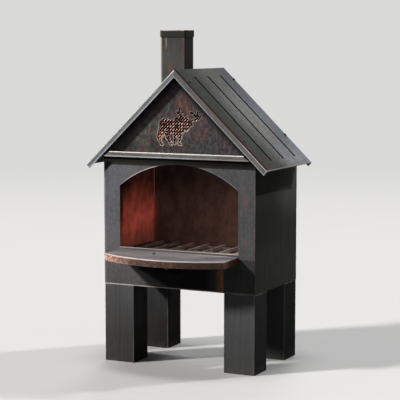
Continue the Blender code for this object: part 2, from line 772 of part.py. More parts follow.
def make_roof(walls):
    """Both slopes, screwed down to the flanges of the gable and the rear panel."""
    grip = ROOF_SHEET + TOUCH + SHEET
    screw = bolt_mesh("roof_screw", ROOF_SCREW_FLATS, ROOF_SCREW_HEAD, ROOF_SCREW_RADIUS, grip + SCREW_TIP)
    panels = []
    for name, side in (("left", -1), ("right", 1)):
        panel = make_roof_panel(f"roof_{name}", side)
        panels.append(panel)
        place = slope(side)
        spots = [along(place(s, y, 0), (side * PITCH_SIN, 0, PITCH_COS))
                 for y in (FRONT + GABLE_FLANGE / 2, BACK - GABLE_FLANGE / 2)
                 for s in (ROOF_SCREW_INSET, WALL_SLOPE_LENGTH - ROOF_SCREW_INSET)]
        holes = fit_fasteners(f"roof_{name}_screw", screw, spots, ROOF_SCREW_RADIUS, grip)
        for obj in [panel] + walls:
            apply_shape(obj, holes)
    make_ridge_angle()
    make_chimney(panels[0])


# Hearth shelf

def make_shelf(front_panel):
    def loop(inset, z):
        return [(u, v, z) for u, v in shelf_outline(inset)]

    bm = bmesh.new()
    foot = SHELF_HEIGHT - SHELF_RIM
    folded = [loop(inset, SHELF_HEIGHT - drop) for inset, drop in fold(SHELF_FOLD)]
    skin(bm, folded + [loop(0, foot), loop(SHELF_SHEET, foot), loop(SHELF_SHEET, SHELF_HEIGHT - SHELF_SHEET)])
    shelf = piece("shelf", bm, "copper_rim")

    top = SHELF_HEIGHT - SHELF_SHEET - TOUCH
    rear = FRONT - TOUCH
    bm = bmesh.new()
    notch = rectangle(-BRACE_WIDTH - 2 * TOUCH, 2 * TOUCH, foot - OVERRUN, top + TOUCH)
    slab(bm, [notch], rear - SHELF_SHEET - TOUCH, FRONT + OVERRUN, upright)
    apply_shape(shelf, guide("shelf_notch", bm))

    toe = top - BRACE_NOSE
    heel = top - BRACE_DROP
    side_view = [(rear, heel), (rear, top), (rear - BRACE_REACH, top), (rear - BRACE_REACH, toe),
                 (rear - BRACE_NOSE, heel)]
    bm = bmesh.new()
    slab(bm, [side_view], -BRACE_WIDTH, 0, sideways)
    brace = piece("shelf_brace", bm, "fire_steel")
    bm = bmesh.new()
    hollow = rectangle(rear - BRACE_REACH - OVERRUN, rear - SHEET, heel - OVERRUN, top - SHEET)
    slab(bm, [hollow], -BRACE_WIDTH - OVERRUN, -SHEET, sideways)
    apply_shape(brace, guide("shelf_brace_hollow", bm))

    # One bolt drops through the shelf into the brace, and the others run forward from inside the firebox
    back_face = FRONT + SHEET
    flange_height = SHELF_HEIGHT - SHELF_RIM / 2
    bolt_side = SHELF_WIDTH / 2 - SHELF_BOLT_INSET
    spots = [along((-bolt_side, back_face, flange_height), (0, 1, 0)),
             along((bolt_side, back_face, flange_height), (0, 1, 0)),
             along((-BRACE_WIDTH / 2, back_face, heel + BRACE_NOSE), (0, 1, 0)),
             along((-BRACE_BOLT_SIDE, FRONT - BRACE_BOLT_REACH, SHELF_HEIGHT), (0, 0, 1))]
    grip = SHELF_SHEET + TOUCH + SHEET
    bolt = bolt_mesh("shelf_bolt", SHELF_BOLT_FLATS, SHELF_BOLT_HEAD, SHELF_BOLT_RADIUS,
                     grip + NUT_HEIGHT + BOLT_TIP)
    nut = nut_mesh("shelf_nut", SHELF_BOLT_FLATS, SHELF_BOLT_RADIUS, NUT_HEIGHT)
    holes = fit_fasteners("shelf_bolt", bolt, spots, SHELF_BOLT_RADIUS, grip)
    for number, spot in enumerate(spots, start=1):
        hang(f"shelf_nut_{number}", nut, spot @ Matrix.Translation((0, 0, -grip)))
    for obj in (front_panel, shelf, brace):
        apply_shape(obj, holes)


# Fire floor and log grate

def make_fire_floor():
    make_tray("fire_floor", INNER_HALF_WIDTH, BACK - FLOOR_SETBACK, FLOOR_TOP, FLOOR_RIM, "fire_steel")
    top = FLOOR_TOP - SHEET - TOUCH
    outer = INNER_HALF_WIDTH
    inner = outer - RAIL_LEG
    section = [(outer, top), (inner, top), (inner, top - SHEET), (outer - SHEET, top - SHEET),
               (outer - SHEET, top - RAIL_LEG), (outer, top - RAIL_LEG)]
    reach = BACK - RAIL_END_GAP
    for name, side in (("floor_rail_left", -1), ("floor_rail_right", 1)):
        bm = bmesh.new()
        slab(bm, [[(side * u, v) for u, v in section]], -reach, reach, upright)
        piece(name, bm, "fire_steel")


def make_grate():
    """One iron casting, bars on two footed rails, loose on the fire floor; its origin is under its middle."""
    half = GRATE_WIDTH / 2
    outer = half - GRATE_FOOT_INSET
    inner = outer - GRATE_FOOT_WIDTH
    rail_top = GRATE_FOOT + GRATE_RAIL_HEIGHT
    view = [(-half, rail_top), (-half, GRATE_FOOT), (-outer, GRATE_FOOT), (-outer, 0), (-inner, 0),
            (-inner, GRATE_FOOT), (inner, GRATE_FOOT), (inner, 0), (outer, 0), (outer, GRATE_FOOT),
            (half, GRATE_FOOT), (half, rail_top)]
    rails = bmesh.new()
    for side in (-1, 1):
        y = side * (GRATE_DEPTH / 2 - GRATE_RAIL_INSET)
        slab(rails, [view], y - GRATE_RAIL_THICKNESS / 2, y + GRATE_RAIL_THICKNESS / 2, upright)
    bars = bmesh.new()
    step = (GRATE_WIDTH - GRATE_BAR) / (GRATE_BAR_COUNT - 1)
    low = rail_top - GRATE_BAR / 2
    for index in range(GRATE_BAR_COUNT):
        left = index * step - half
        bar = rectangle(left - TOUCH, left + GRATE_BAR + TOUCH, low, low + GRATE_BAR)
        slab(bars, [bar], -GRATE_DEPTH / 2, GRATE_DEPTH / 2, upright)
    seat = Matrix.Translation((0, FRONT + GRATE_SETBACK + GRATE_DEPTH / 2, FLOOR_TOP + TOUCH))
    grate = hang("log_grate", make_mesh("log_grate", rails, "grate_iron"), seat)
    tool = guide("log_grate_bars", bars)
    tool.matrix_local = seat
    apply_shape(grate, tool, "UNION")


def main():
    for obj in list(bpy.data.objects):
        bpy.data.objects.remove(obj)
    for name in FINISHES:
        make_finish(name)
    frame = bpy.data.objects.new("chiminea_frame", None)
    frame.location = (0, MIDDLE, 0)
    bpy.context.scene.collection.objects.link(frame)
    make_base_and_legs()
    front, rear, gable = make_walls()
    make_roof([rear, gable])
    make_shelf(front)
    make_fire_floor()
    make_grate()


main()
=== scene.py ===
import math

import bmesh
import bpy
from mathutils import Matrix, Vector


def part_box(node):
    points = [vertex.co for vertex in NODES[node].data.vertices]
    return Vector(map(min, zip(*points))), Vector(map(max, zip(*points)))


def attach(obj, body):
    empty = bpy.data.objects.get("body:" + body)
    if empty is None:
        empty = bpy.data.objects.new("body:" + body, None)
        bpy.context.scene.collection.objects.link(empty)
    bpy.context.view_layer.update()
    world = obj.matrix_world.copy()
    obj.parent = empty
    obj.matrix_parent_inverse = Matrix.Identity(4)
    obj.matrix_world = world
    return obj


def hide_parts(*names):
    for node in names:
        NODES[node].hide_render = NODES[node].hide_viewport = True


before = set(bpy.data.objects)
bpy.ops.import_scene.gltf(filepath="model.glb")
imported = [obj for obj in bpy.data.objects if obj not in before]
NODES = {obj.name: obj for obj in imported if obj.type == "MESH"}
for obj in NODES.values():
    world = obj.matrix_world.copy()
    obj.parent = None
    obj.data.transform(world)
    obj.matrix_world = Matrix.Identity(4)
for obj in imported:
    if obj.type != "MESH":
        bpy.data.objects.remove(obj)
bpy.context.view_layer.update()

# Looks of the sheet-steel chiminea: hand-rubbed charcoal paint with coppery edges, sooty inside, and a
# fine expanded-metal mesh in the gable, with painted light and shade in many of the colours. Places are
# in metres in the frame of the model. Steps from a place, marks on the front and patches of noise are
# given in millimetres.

MM = 0.001


def linear(red, green, blue):
    """A colour given in display values from 0 to 255, as shaders take it."""
    shares = [value / 255 for value in (red, green, blue)]
    return tuple(c / 12.92 if c < 0.04 else ((c + 0.055) / 1.055) ** 2.4 for c in shares) + (1,)


def past(datum, *steps):
    """Places that lie some millimetres past a datum."""
    return [datum + step * MM for step in steps]


# Directions
RIGHT, LEFT = (1, 0, 0), (-1, 0, 0)
FORWARD, BACKWARD = (0, -1, 0), (0, 1, 0)
UP, DOWN = (0, 0, 1), (0, 0, -1)

# Main places, read off the model
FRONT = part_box("front_panel")[0].y
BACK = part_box("rear_panel")[1].y
MIDDLE = (FRONT + BACK) / 2
HALF_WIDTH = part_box("front_panel")[1].x
HALF_DEPTH = (BACK - FRONT) / 2
PANEL_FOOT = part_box("front_panel")[0].z
PANEL_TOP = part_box("gable_front")[0].z
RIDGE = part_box("roof_right")[1].z
ROOF_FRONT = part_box("roof_right")[0].y
ROOF_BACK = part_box("roof_right")[1].y
SHELF_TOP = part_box("shelf")[1].z
SHELF_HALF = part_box("shelf")[1].x

# The stretch across the middle over which a tone changes from that of the left to that of the right
LEFT_TO_RIGHT = past(0, -100, 100)

# Fire opening, as wide as the shelf
SILL = SHELF_TOP + 8.5 * MM
ARCH_FOOT = PANEL_FOOT + 363 * MM
ARCH_RISE = 84 * MM
ARCH_RADIUS = (SHELF_HALF ** 2 + ARCH_RISE ** 2) / (2 * ARCH_RISE)
ARCH_CENTRE = ARCH_FOOT + ARCH_RISE - ARCH_RADIUS
ARCH_LINE = 1.2 * MM

# Roof; the depths of its eave and of the ends of its grooves run down the slope from the ridge
PITCH = math.radians(44)
EAVE_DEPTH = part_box("roof_right")[1].x / math.cos(PITCH) - 3.5 * MM
GROOVE_COUNT = 3
GROOVE_FRONT = ROOF_FRONT + 106 * MM
GROOVE_REAR = ROOF_BACK - 94 * MM
GROOVE_ENDS = 40 * MM, EAVE_DEPTH - 40 * MM
GROOVE_HALF = 5.8 * MM

# The painted shadow under the shelf widens to the left by so much with each metre of height
SHELF_SHADOW_SLOPE = 1.966

# Mesh in the gable
CELL_WIDTH, CELL_HEIGHT = 11.2 * MM, 11.2 * MM
STRAND_HALF, STRAND_THICKNESS = 0.8 * MM, 0.55 * MM
STRAND_LEAN = 0.5
KNOT_WIDTH, KNOT_HEIGHT, KNOT_THICKNESS = 3.1 * MM, 1.35 * MM, 0.8 * MM
KNOT_NORMAL = Vector((-0.35, -0.85, 0.4)).normalized()
RIM_HALF, RIM_THICKNESS = 1.2 * MM, 0.9 * MM

# Rounding of the solids
WELD_REACH = 0.01 * MM
EDGE_ROUND, FASTENER_ROUND = 0.45 * MM, 0.25 * MM
ROUND_SEGMENTS = 2
SHARP_ANGLE = math.radians(40)
FASTENERS = [name for name in NODES if any(word in name for word in ("screw", "bolt", "nut"))]

# Colours that several paints share
COPPER = linear(176, 116, 92)
COPPER_DARK = linear(112, 62, 44)
PALE_EDGE = linear(206, 190, 184)
SHADE = linear(10, 10, 9)
BLACK = linear(4, 4, 4)

# Studio
BACKGROUND = (0.70, 0.70, 0.695, 1)
FLOOR_TONES = (0.528, 0.526, 0.521, 1), (0.534, 0.532, 0.527, 1)
FLOOR_BOUNCE = (0.13, 0.13, 0.13, 1)
FLOOR_RADIUS = 60
FLOOR_FADE = 2.5, 9.0
AMBIENT_COLOUR = (0.93, 0.97, 1.0, 1)
AMBIENT_STRENGTH = 0.13

# Firebox lamp
LAMP_SIZE = 0.03, 0.24
LAMP_POWER = 1.7
LAMP_COLOUR = (1.0, 0.88, 0.8)
LAMP_PLACE = (HALF_WIDTH - 0.03, FRONT + 0.03, PANEL_FOOT + 0.274)
LAMP_TRAVEL = (-1, 0.75, -0.1)

# Camera, fitted to points of the photograph
SENSOR_WIDTH = 36
FOCAL_LENGTH = 3.52275 * SENSOR_WIDTH
CAMERA_PLACE = (2.2357, MIDDLE - 4.6378, 1.1590)
CAMERA_TILT = math.radians(90 - 6.324)
CAMERA_TURN = math.radians(25.787)
CLIP_RANGE = 0.1, 200


# Node trees

class Nodes:
    """A node tree under construction. Its methods add nodes and, but for end, return what comes out."""

    def __init__(self, tree):
        self.nodes, self.links = tree.nodes, tree.links
        self.nodes.clear()

    def add(self, kind, inputs, output=0, **settings):
        """A node with its settings, its inputs led from sockets or set to values."""
        node = self.nodes.new(kind)
        for key, value in settings.items():
            setattr(node, key, value)
        for key, value in inputs.items():
            if isinstance(value, bpy.types.NodeSocket):
                self.links.new(value, node.inputs[key])
            else:
                node.inputs[key].default_value = value
        return node.outputs[output]

    def end(self, kind, shader):
        """Leads the shader to the output of the tree."""
        self.links.new(shader, self.nodes.new(kind).inputs["Surface"])

    def math(self, operation, a, b=0.0, c=0.0):
        """One step of arithmetic."""
        return self.add("ShaderNodeMath", {0: a, 1: b, 2: c}, operation=operation)

    def either(self, a, b):
        """The larger of two shares."""
        return self.math("MAXIMUM", a, b)

    def seen_rays(self):
        """1 for the rays that show the studio to the camera, directly or in a reflection."""
        rays = self.add("ShaderNodeLightPath", {}).node.outputs
        first = self.either(rays["Is Camera Ray"], rays["Is Glossy Ray"])
        return self.either(first, rays["Is Transmission Ray"])


class Surface(Nodes):
    """A material under construction."""

    def __init__(self, name, turn=0.0):
        """turn is the angle about Y that brings the brushing direction of the surface to Z."""
        self.material = bpy.data.materials.new(name)
        self.material.use_nodes = True
        super().__init__(self.material.node_tree)
        self.place = self.add("ShaderNodeTexCoord", {}, "Object")
        self.normal = self.add("ShaderNodeNewGeometry", {}, "Normal")
        self.x, self.y, self.z = self.split(self.place)
        self.grain_frame = self.place
        if turn:
            self.grain_frame = self.add("ShaderNodeMapping", {"Vector": self.place, "Rotation": (0, turn, 0)})
        self.seed = 0.0

    # Values

    def split(self, vector):
        """The three parts of a vector."""
        return self.add("ShaderNodeSeparateXYZ", {"Vector": vector}).node.outputs

    def vector(self, operation, a, b, output=0):
        """One step of arithmetic on vectors."""
        return self.add("ShaderNodeVectorMath", {0: a, 1: b}, output, operation=operation)

    def away(self, value, centre=0.0):
        """How far a value is from a centre, on either side."""
        return self.math("ABSOLUTE", self.math("SUBTRACT", value, centre))

    def times(self, *shares):
        """The product of some shares."""
        product = shares[0]
        for share in shares[1:]:
            product = self.math("MULTIPLY", product, share)
        return product

    def inverse(self, share):
        """What a share leaves of 1."""
        return self.math("SUBTRACT", 1.0, share)

    def mixed(self, share, a, b):
        """The value a where share is 0 and b where it is 1."""
        return self.add("ShaderNodeMix", {0: share, 2: a, 3: b}, 0, data_type="FLOAT")

    def ramp(self, value, low, high, start=0.0, end=1.0):
        """Goes smoothly from start at low to end at high."""
        inputs = {"Value": value, "From Min": low, "From Max": high, "To Min": start, "To Max": end}
        return self.add("ShaderNodeMapRange", inputs, interpolation_type="SMOOTHSTEP")

    def fall(self, value, low, high):
        """Goes smoothly from 1 at low to 0 at high."""
        return self.ramp(value, low, high, 1, 0)

    def band(self, value, centre, half, soft):
        """1 within half of centre, 0 beyond soft more."""
        return self.fall(self.away(value, centre), half, half + soft)

    def between(self, value, low, high, soft):
        """1 from low to high, 0 beyond soft more."""
        return self.band(value, (low + high) / 2, (high - low) / 2, soft)

    def noise(self, size, stretch=(1, 1, 1), detail=4.0, rough=0.55, low=0.35, high=0.65):
        """0 to 1 in patches about size millimetres wide, drawn out along each axis by stretch."""
        self.seed += 3.7
        inputs = {"Vector": self.grain_frame, "Scale": tuple(1 / (size * MM * k) for k in stretch),
                  "Location": (self.seed, -self.seed, 0.5 * self.seed)}
        placed = self.add("ShaderNodeMapping", inputs)
        inputs = {"Vector": placed, "Scale": 1.0, "Detail": detail, "Roughness": rough}
        return self.ramp(self.add("ShaderNodeTexNoise", inputs), low, high)

    # Colours

    def mix(self, share, a, b, blend="MIX"):
        """The colour a where share is 0 and b where it is 1."""
        return self.add("ShaderNodeMix", {0: share, 6: a, 7: b}, 2, data_type="RGBA", blend_type=blend)

    def tint(self, colour, tone, *shares):
        """The colour with another one over it, to the product of the shares."""
        return self.mix(self.times(*shares), colour, tone)

    def scale(self, colour, low, high, share):
        """The colour times low where share is 0 and high where it is 1."""
        factor = self.ramp(share, 0, 1, low, high)
        grey = self.add("ShaderNodeCombineXYZ", {0: factor, 1: factor, 2: factor})
        return self.mix(1.0, colour, grey, "MULTIPLY")

    # Places

    def blob(self, centre, reach):
        """1 at a place, 0 outside the ellipsoid of that reach."""
        shares = self.vector("DIVIDE", self.vector("SUBTRACT", self.place, centre), reach)
        return self.fall(self.vector("LENGTH", shares, (0, 0, 0), "Value"), 0.2, 1)

    def spot(self, x, rise, wide, tall, base=PANEL_TOP):
        """A blob on the front, its centre some millimetres over base, of that half width and height."""
        return self.blob((x * MM, FRONT, base + rise * MM), (wide * MM, 50 * MM, tall * MM))

    def facing(self, direction, low=0.4, high=0.8):
        """1 where the surface faces that way."""
        return self.ramp(self.vector("DOT_PRODUCT", self.normal, direction, "Value"), low, high)

    def worn_edge(self, reach, low=0.75, high=0.99):
        """1 along the sharp edges of a piece."""
        rounded = self.add("ShaderNodeBevel", {"Radius": reach}, samples=6)
        return self.fall(self.vector("DOT_PRODUCT", rounded, self.normal, "Value"), low, high)

    def inside(self):
        """1 on the faces that look into the firebox."""
        wide = self.fall(self.away(self.x), *past(HALF_WIDTH, -1.2, -0.8))
        deep = self.fall(self.away(self.y, MIDDLE), *past(HALF_DEPTH, -1.2, -0.8))
        return self.times(wide, deep, self.ramp(self.z, *past(PANEL_FOOT, 2, 4)))

    def near_moose(self):
        """1 in the part of the gable that holds the cut-out."""
        low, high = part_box("moose_mesh")
        return self.times(self.between(self.x, low.x, high.x, 1 * MM),
                          self.between(self.z, low.z, high.z, 1 * MM))

    def cut_edge(self):
        """1 on the cut walls of the moose, which face neither forward nor back."""
        return self.times(self.fall(self.away(self.split(self.normal)[1]), 0.3, 0.6), self.near_moose())

    def roof_depth(self, side):
        """Distance below the top of the roof sheet, across the sheet, and distance down the slope."""
        rise = self.math("SUBTRACT", self.z, RIDGE)
        across = self.times(self.x, side * math.sin(PITCH))
        below = self.times(self.math("ADD", across, self.times(rise, math.cos(PITCH))), -1.0)
        out = self.times(self.x, side * math.cos(PITCH))
        return below, self.math("SUBTRACT", out, self.times(rise, math.sin(PITCH)))

    # Finish

    def brushed(self, tone, depth):
        """Rubbed paint: soft clouds, long streaks and fine grain along the brushing direction."""
        self.cloud = self.noise(120, (1, 1, 1.6), detail=5)
        self.streak = self.noise(9, (1, 1, 30), detail=3, low=0.3, high=0.7)
        dark_streak = self.noise(11, (1, 1, 16), low=0.5, high=0.75)
        self.grain = self.noise(2.2, (1, 1, 12), detail=2)
        colour = self.scale(tone, 1 - 0.16 * depth, 1 + 0.16 * depth, self.cloud)
        colour = self.scale(colour, 1 - 0.10 * depth, 1 + 0.14 * depth, self.streak)
        colour = self.scale(colour, 1, 1 - 0.22 * depth, dark_streak)
        return self.scale(colour, 1 - 0.07 * depth, 1 + 0.07 * depth, self.grain)

    def speckle(self):
        """Small blotches all over a sheet."""
        return self.noise(8, (1, 1, 1.5), rough=0.7, low=0.36, high=0.64)

    def painted(self, colour, rough, specular, metallic=0.0):
        """The shader of a brushed paint."""
        peel = self.noise(3.5, detail=2)
        heights = (self.streak, 0.35), (self.grain, 0.25), (peel, 0.4)
        return self.shell(colour, rough, specular, metallic, heights)

    def shell(self, colour, rough, specular, metallic, heights, depth=0.25 * MM):
        """The shader, with a bump of that depth from the weighted sum of some heights."""
        total = 0.0
        for height, weight in heights:
            total = self.math("MULTIPLY_ADD", height, weight, total)
        bump = self.add("ShaderNodeBump", {"Strength": 1.0, "Distance": depth, "Height": total})
        inputs = {"Base Color": colour, "Roughness": rough, "Metallic": metallic,
                  "Specular IOR Level": specular, "Normal": bump}
        self.end("ShaderNodeOutputMaterial", self.add("ShaderNodeBsdfPrincipled", inputs))
        return self.material


# Soot, painted firelight and painted shade in the firebox

def firebox_walls(s, mottle):
    """Side walls reddened by heat and by painted firelight, the left one brightest, a browner rear wall, and
    ash low down.
    """
    # Painted firelight: the walls get a warm red, brightest on the left wall.
    walls = s.mix(mottle, linear(144, 64, 54), linear(184, 88, 74))
    walls = s.tint(walls, linear(96, 60, 52), s.ramp(s.z, *past(PANEL_FOOT, 74, 214), 0.75, 0))
    right_wall = s.mix(mottle, linear(84, 58, 52), linear(118, 84, 76))
    walls = s.tint(walls, right_wall, s.ramp(s.x, *LEFT_TO_RIGHT))
    soot_and_painted_light = s.mix(mottle, linear(74, 56, 51), linear(108, 84, 76))
    soot_and_painted_light = s.tint(soot_and_painted_light, walls, s.ramp(s.away(s.x), *past(HALF_WIDTH, -30, -10)))
    ash = s.times(s.fall(s.z, *past(PANEL_FOOT, 95, 210)), s.noise(20))
    return s.tint(soot_and_painted_light, linear(84, 76, 70), ash, 0.35)


def firebox_shade(s, soot_and_painted_light, mottle):
    """Painted shade behind the front, under the arch and up under the roof, and the seam in the rear corner.
    """
    across = s.away(s.x)
    rear = s.ramp(s.y, *past(BACK, -6, -4))
    soot_and_painted_light = s.tint(soot_and_painted_light, linear(52, 30, 26), rear, s.fall(across, *past(HALF_WIDTH, -8, -7)), 0.6)
    # Painted shade behind the front panel and close behind its jambs.
    near = s.times(s.fall(s.y, *past(MIDDLE, -80, 70)), s.ramp(s.z, *past(PANEL_FOOT, 224, 334), 0, 0.72))
    edge = s.times(s.fall(s.y, *past(MIDDLE, -60, -40)), s.ramp(s.z, *past(PANEL_FOOT, 154, 274), 0.25, 0.92))
    soot_and_painted_light = s.tint(soot_and_painted_light, linear(16, 8, 7), s.either(near, edge))
    # Painted shade, mottled, that deepens up under the roof.
    high_shade = s.mix(mottle, linear(20, 13, 12), linear(44, 29, 26))
    soot_and_painted_light = s.tint(soot_and_painted_light, high_shade, s.ramp(s.z, *past(PANEL_FOOT, 214, 374), 0, 0.92))
    # Painted shade under the arch.
    arch = s.times(s.fall(s.y, *past(MIDDLE, -30, 50)), s.ramp(s.z, *past(PANEL_FOOT, 314, 364)))
    soot_and_painted_light = s.tint(soot_and_painted_light, linear(6, 4, 4), arch, 0.85)
    seam = s.band(across, HALF_WIDTH - 6.6 * MM, 1.2 * MM, 1 * MM)
    return s.tint(soot_and_painted_light, linear(170, 118, 100), seam, rear, s.ramp(s.z, *past(PANEL_FOOT, 214, 294)), 0.7)


def sooted_with_painted_light(s, colour, rough):
    """Soot, burnt-in heat marks, painted firelight and painted shade on the faces inside the firebox."""
    mottle = s.noise(50, (1, 1, 1.5), detail=6, rough=0.65)
    soot_and_painted_light = firebox_shade(s, firebox_walls(s, mottle), mottle)
    inside = s.inside()
    return s.mix(inside, colour, soot_and_painted_light), s.mixed(inside, rough, 0.88)


# Plain painted sheets

def worn_paint(s, tone, depth, patches, edges, patch_size=50, wear=3 * MM):
    """Rubbed paint with copper in patches and along the edges, each to a share."""
    colour = s.brushed(tone, depth)
    patch = s.noise(patch_size, (1, 1, 2.2), detail=6, rough=0.7, low=0.56, high=0.72)
    colour = s.tint(colour, COPPER_DARK, patch, s.streak, patches)
    broken = s.noise(20, (1, 1, 2), detail=5, rough=0.7, low=0.3, high=0.7)
    return s.tint(colour, COPPER, s.worn_edge(wear), broken, edges)


def body_paint(name, tone, specular, copper, depth=1.0, wear=3 * MM, soot_and_painted_light=True):
    """Plain rubbed paint of one tone, with a share of copper and, if asked, sooty inner faces with painted
    firelight and painted shade.
    """
    s = Surface(name)
    colour = worn_paint(s, tone, depth, copper * 0.5, copper, wear=wear)
    rough = s.mixed(s.cloud, 0.43, 0.6)
    if soot_and_painted_light:
        colour, rough = sooted_with_painted_light(s, colour, rough)
    return s.painted(colour, rough, specular)


def side_tone(s):
    """Grey, paler high up at the rear as painted light, with a painted shadow under the right eave and the
    right panel's tone darker than the left's as painted shade.
    """
    behind = s.math("SUBTRACT", s.y, MIDDLE)
    tone = s.mix(s.ramp(s.y, FRONT, BACK), linear(56, 57, 53), linear(64, 65, 61))
    # Painted light: paler high up at the rear.
    high_rear_light = s.times(s.ramp(s.y, MIDDLE - 60 * MM, BACK), s.ramp(s.z, *past(PANEL_FOOT, 214, 334)))
    tone = s.tint(tone, linear(100, 100, 95), high_rear_light)
    low_front = s.times(s.band(s.z, PANEL_FOOT + 229 * MM, 35 * MM, 60 * MM),
                        s.fall(behind, *past(0, 0, 100)))
    tone = s.scale(tone, 1, 0.8, low_front)
    # Painted shadow of the right eave, deeper near the front.
    level = s.math("SUBTRACT", s.z, s.ramp(behind, *past(0, 0, 120), 0, -5 * MM))
    shade = s.times(s.ramp(level, *past(PANEL_TOP, -134.3, -127.3)), s.fall(behind, *past(0, 136, 150)))
    deeper = s.times(s.fall(s.z, *past(PANEL_TOP, -124.3, -117.3)), s.fall(behind, *past(0, -40, 50)))
    tone = s.tint(tone, linear(24, 24, 22), shade, s.mixed(deeper, 0.5, 0.9), s.ramp(s.x, *LEFT_TO_RIGHT))
    # The left panel is plain grey; the darker tone of the right panel is painted shade.
    return s.mix(s.ramp(s.x, *LEFT_TO_RIGHT), linear(66, 66, 66), tone)


def side_paint():
    """Rubbed paint with little copper; inside, sooty with painted firelight and painted shade."""
    s = Surface("side_paint")
    colour = worn_paint(s, side_tone(s), 0.5, 0.12, 0.2, patch_size=60)
    colour, rough = sooted_with_painted_light(s, colour, s.mixed(s.cloud, 0.43, 0.6))
    return s.painted(colour, rough, specular=0.004)


# Front panel

def arch_line(s, colour):
    """The rubbed edge of the arch, brightened as a painted highlight, strongest on the left."""
    flat = s.add("ShaderNodeCombineXYZ", {0: s.x, 2: s.z})
    reach = s.vector("DISTANCE", flat, (0, 0, ARCH_CENTRE), "Value")
    line = s.band(reach, ARCH_RADIUS + ARCH_LINE, ARCH_LINE, ARCH_LINE)
    left = s.times(s.ramp(s.x, *past(0, -250, -170), 0.45, 1), s.ramp(s.x, *past(0, -100, -50), 1, 0.25))
    lit = s.either(left, s.ramp(s.x, *past(0, 100, 200), 0, 0.5))
    tone = s.mix(s.ramp(s.x, *LEFT_TO_RIGHT), linear(206, 200, 200), linear(172, 168, 168))
    above_foot = s.ramp(s.z, *past(ARCH_FOOT, 0, 14))
    return s.tint(colour, tone, line, above_foot, s.facing(FORWARD, 0.3, 0.7), lit)


def crossbar_shade(s, colour):
    """The painted shadow under the crossbar: black right below it, a lighter band beneath that, dim lower
    down, and drawn down at the left corner.
    """
    drop = s.ramp(s.x, *past(-HALF_WIDTH, -2, 36), 26 * MM, 0)
    # Painted shadow of the crossbar, drawn down at the left corner.
    strip = s.ramp(s.math("ADD", s.z, drop), *past(PANEL_TOP, -42.8, -38.8))
    right = s.ramp(s.x, *past(0, -100, 150))
    low = s.mix(right, linear(31, 29, 25), linear(18, 18, 14))
    high = s.mix(right, linear(92, 90, 80), linear(66, 63, 55))
    tone = s.mix(s.ramp(s.z, *past(PANEL_TOP, -33.3, -27.3)), low, high)
    colour = s.tint(colour, tone, strip, 0.85)
    return s.tint(colour, BLACK, s.ramp(s.z, *past(PANEL_TOP, -23.3, -18.3)), 0.92)


def front_edges(s, colour):
    """Rubbed lines down both sides, along the foot and on the sill."""
    worn = s.noise(30, (1, 1, 4))
    tone = s.mix(s.ramp(s.z, *past(PANEL_FOOT, 154, 274)), COPPER_DARK, linear(138, 118, 114))
    line = s.band(s.x, HALF_WIDTH, 3 * MM, 4 * MM)
    colour = s.tint(colour, tone, line, worn, s.ramp(s.z, *past(PANEL_FOOT, 404, 414), 0.6, 0))
    worn = s.noise(40, (1, 1, 4), low=0.25, high=0.55)
    line = s.band(s.x, -HALF_WIDTH, 3 * MM, 4 * MM)
    height = s.ramp(s.z, *past(PANEL_FOOT, 384, 404), 0.6, 0)
    colour = s.tint(colour, linear(164, 156, 148), line, worn, height)
    worn = s.noise(30, (3, 1, 1), low=0.25, high=0.55)
    line = s.band(s.z, PANEL_FOOT, 2.2 * MM, 1 * MM)
    share = s.times(s.ramp(s.x, *past(0, -160, 120), 0.95, 0.4), s.ramp(s.x, *past(0, 100, 200), 1, 0.5))
    colour = s.tint(colour, linear(230, 222, 216), line, worn, share)
    sill = s.times(s.band(s.z, SILL, 1.5 * MM, 1 * MM), s.fall(s.away(s.x), *past(SHELF_HALF, 1, 3)))
    return s.tint(colour, PALE_EDGE, sill, 0.7)


def below_shelf(s, colour, broken):
    """The painted shadow under the shelf and the rusty run at its right end."""
    run = s.times(s.ramp(s.x, *past(0, 140, 170)), s.fall(s.x, *past(0, 177, 182)),
                  s.fall(s.z, *past(SHELF_TOP, -10, 0)), s.mixed(broken, 0.45, 1.0))
    colour = s.tint(colour, linear(160, 104, 76), run)
    # Painted shadow of the shelf, widening to the left higher up.
    slant = s.math("MULTIPLY_ADD", s.math("SUBTRACT", s.z, PANEL_FOOT), SHELF_SHADOW_SLOPE, s.x)
    shelf_shadow = s.times(s.ramp(slant, *past(0, -57.3, -12.3)), s.ramp(s.x, *past(0, 100, 170), 1, 0.55),
                    s.fall(s.z, *past(SHELF_TOP, -12, -8)), s.ramp(s.z, *past(PANEL_FOOT, 4, 6)))
    return s.tint(colour, BLACK, shelf_shadow, 0.97, s.inverse(s.times(run, 0.8)))


def front_paint():
    """Grey paint, darker to the right and low down, with its marks and lines, a painted highlight on the arch
    and painted shadows under the crossbar and the shelf.
    """
    s = Surface("front_paint")
    tone = s.mix(s.ramp(s.x, -HALF_WIDTH, HALF_WIDTH), linear(106, 107, 111), linear(87, 87, 89))
    tone = s.tint(tone, linear(85, 83, 82), s.fall(s.z, PANEL_FOOT, SHELF_TOP + 100 * MM), 0.8)
    colour = s.brushed(tone, 0.42)
    colour = s.scale(colour, 0.9, 1.1, s.speckle())
    broken = s.noise(18, (1, 1, 2.5), detail=5, rough=0.7)
    colour = arch_line(s, colour)
    rust = s.math("ADD", s.spot(262, 332, 19, 44, PANEL_FOOT), s.spot(262, 180, 16, 16, PANEL_FOOT))
    colour = s.tint(colour, linear(120, 92, 92), rust, s.mixed(broken, 0.6, 1.0), 0.6)
    colour = crossbar_shade(s, colour)
    colour = front_edges(s, colour)
    colour = below_shelf(s, colour, broken)
    colour, rough = sooted_with_painted_light(s, colour, s.mixed(s.cloud, 0.44, 0.56))
    return s.painted(colour, rough, specular=0.03)


# Gable; a cloud or spot has its place across, rise, half width and half height in millimetres

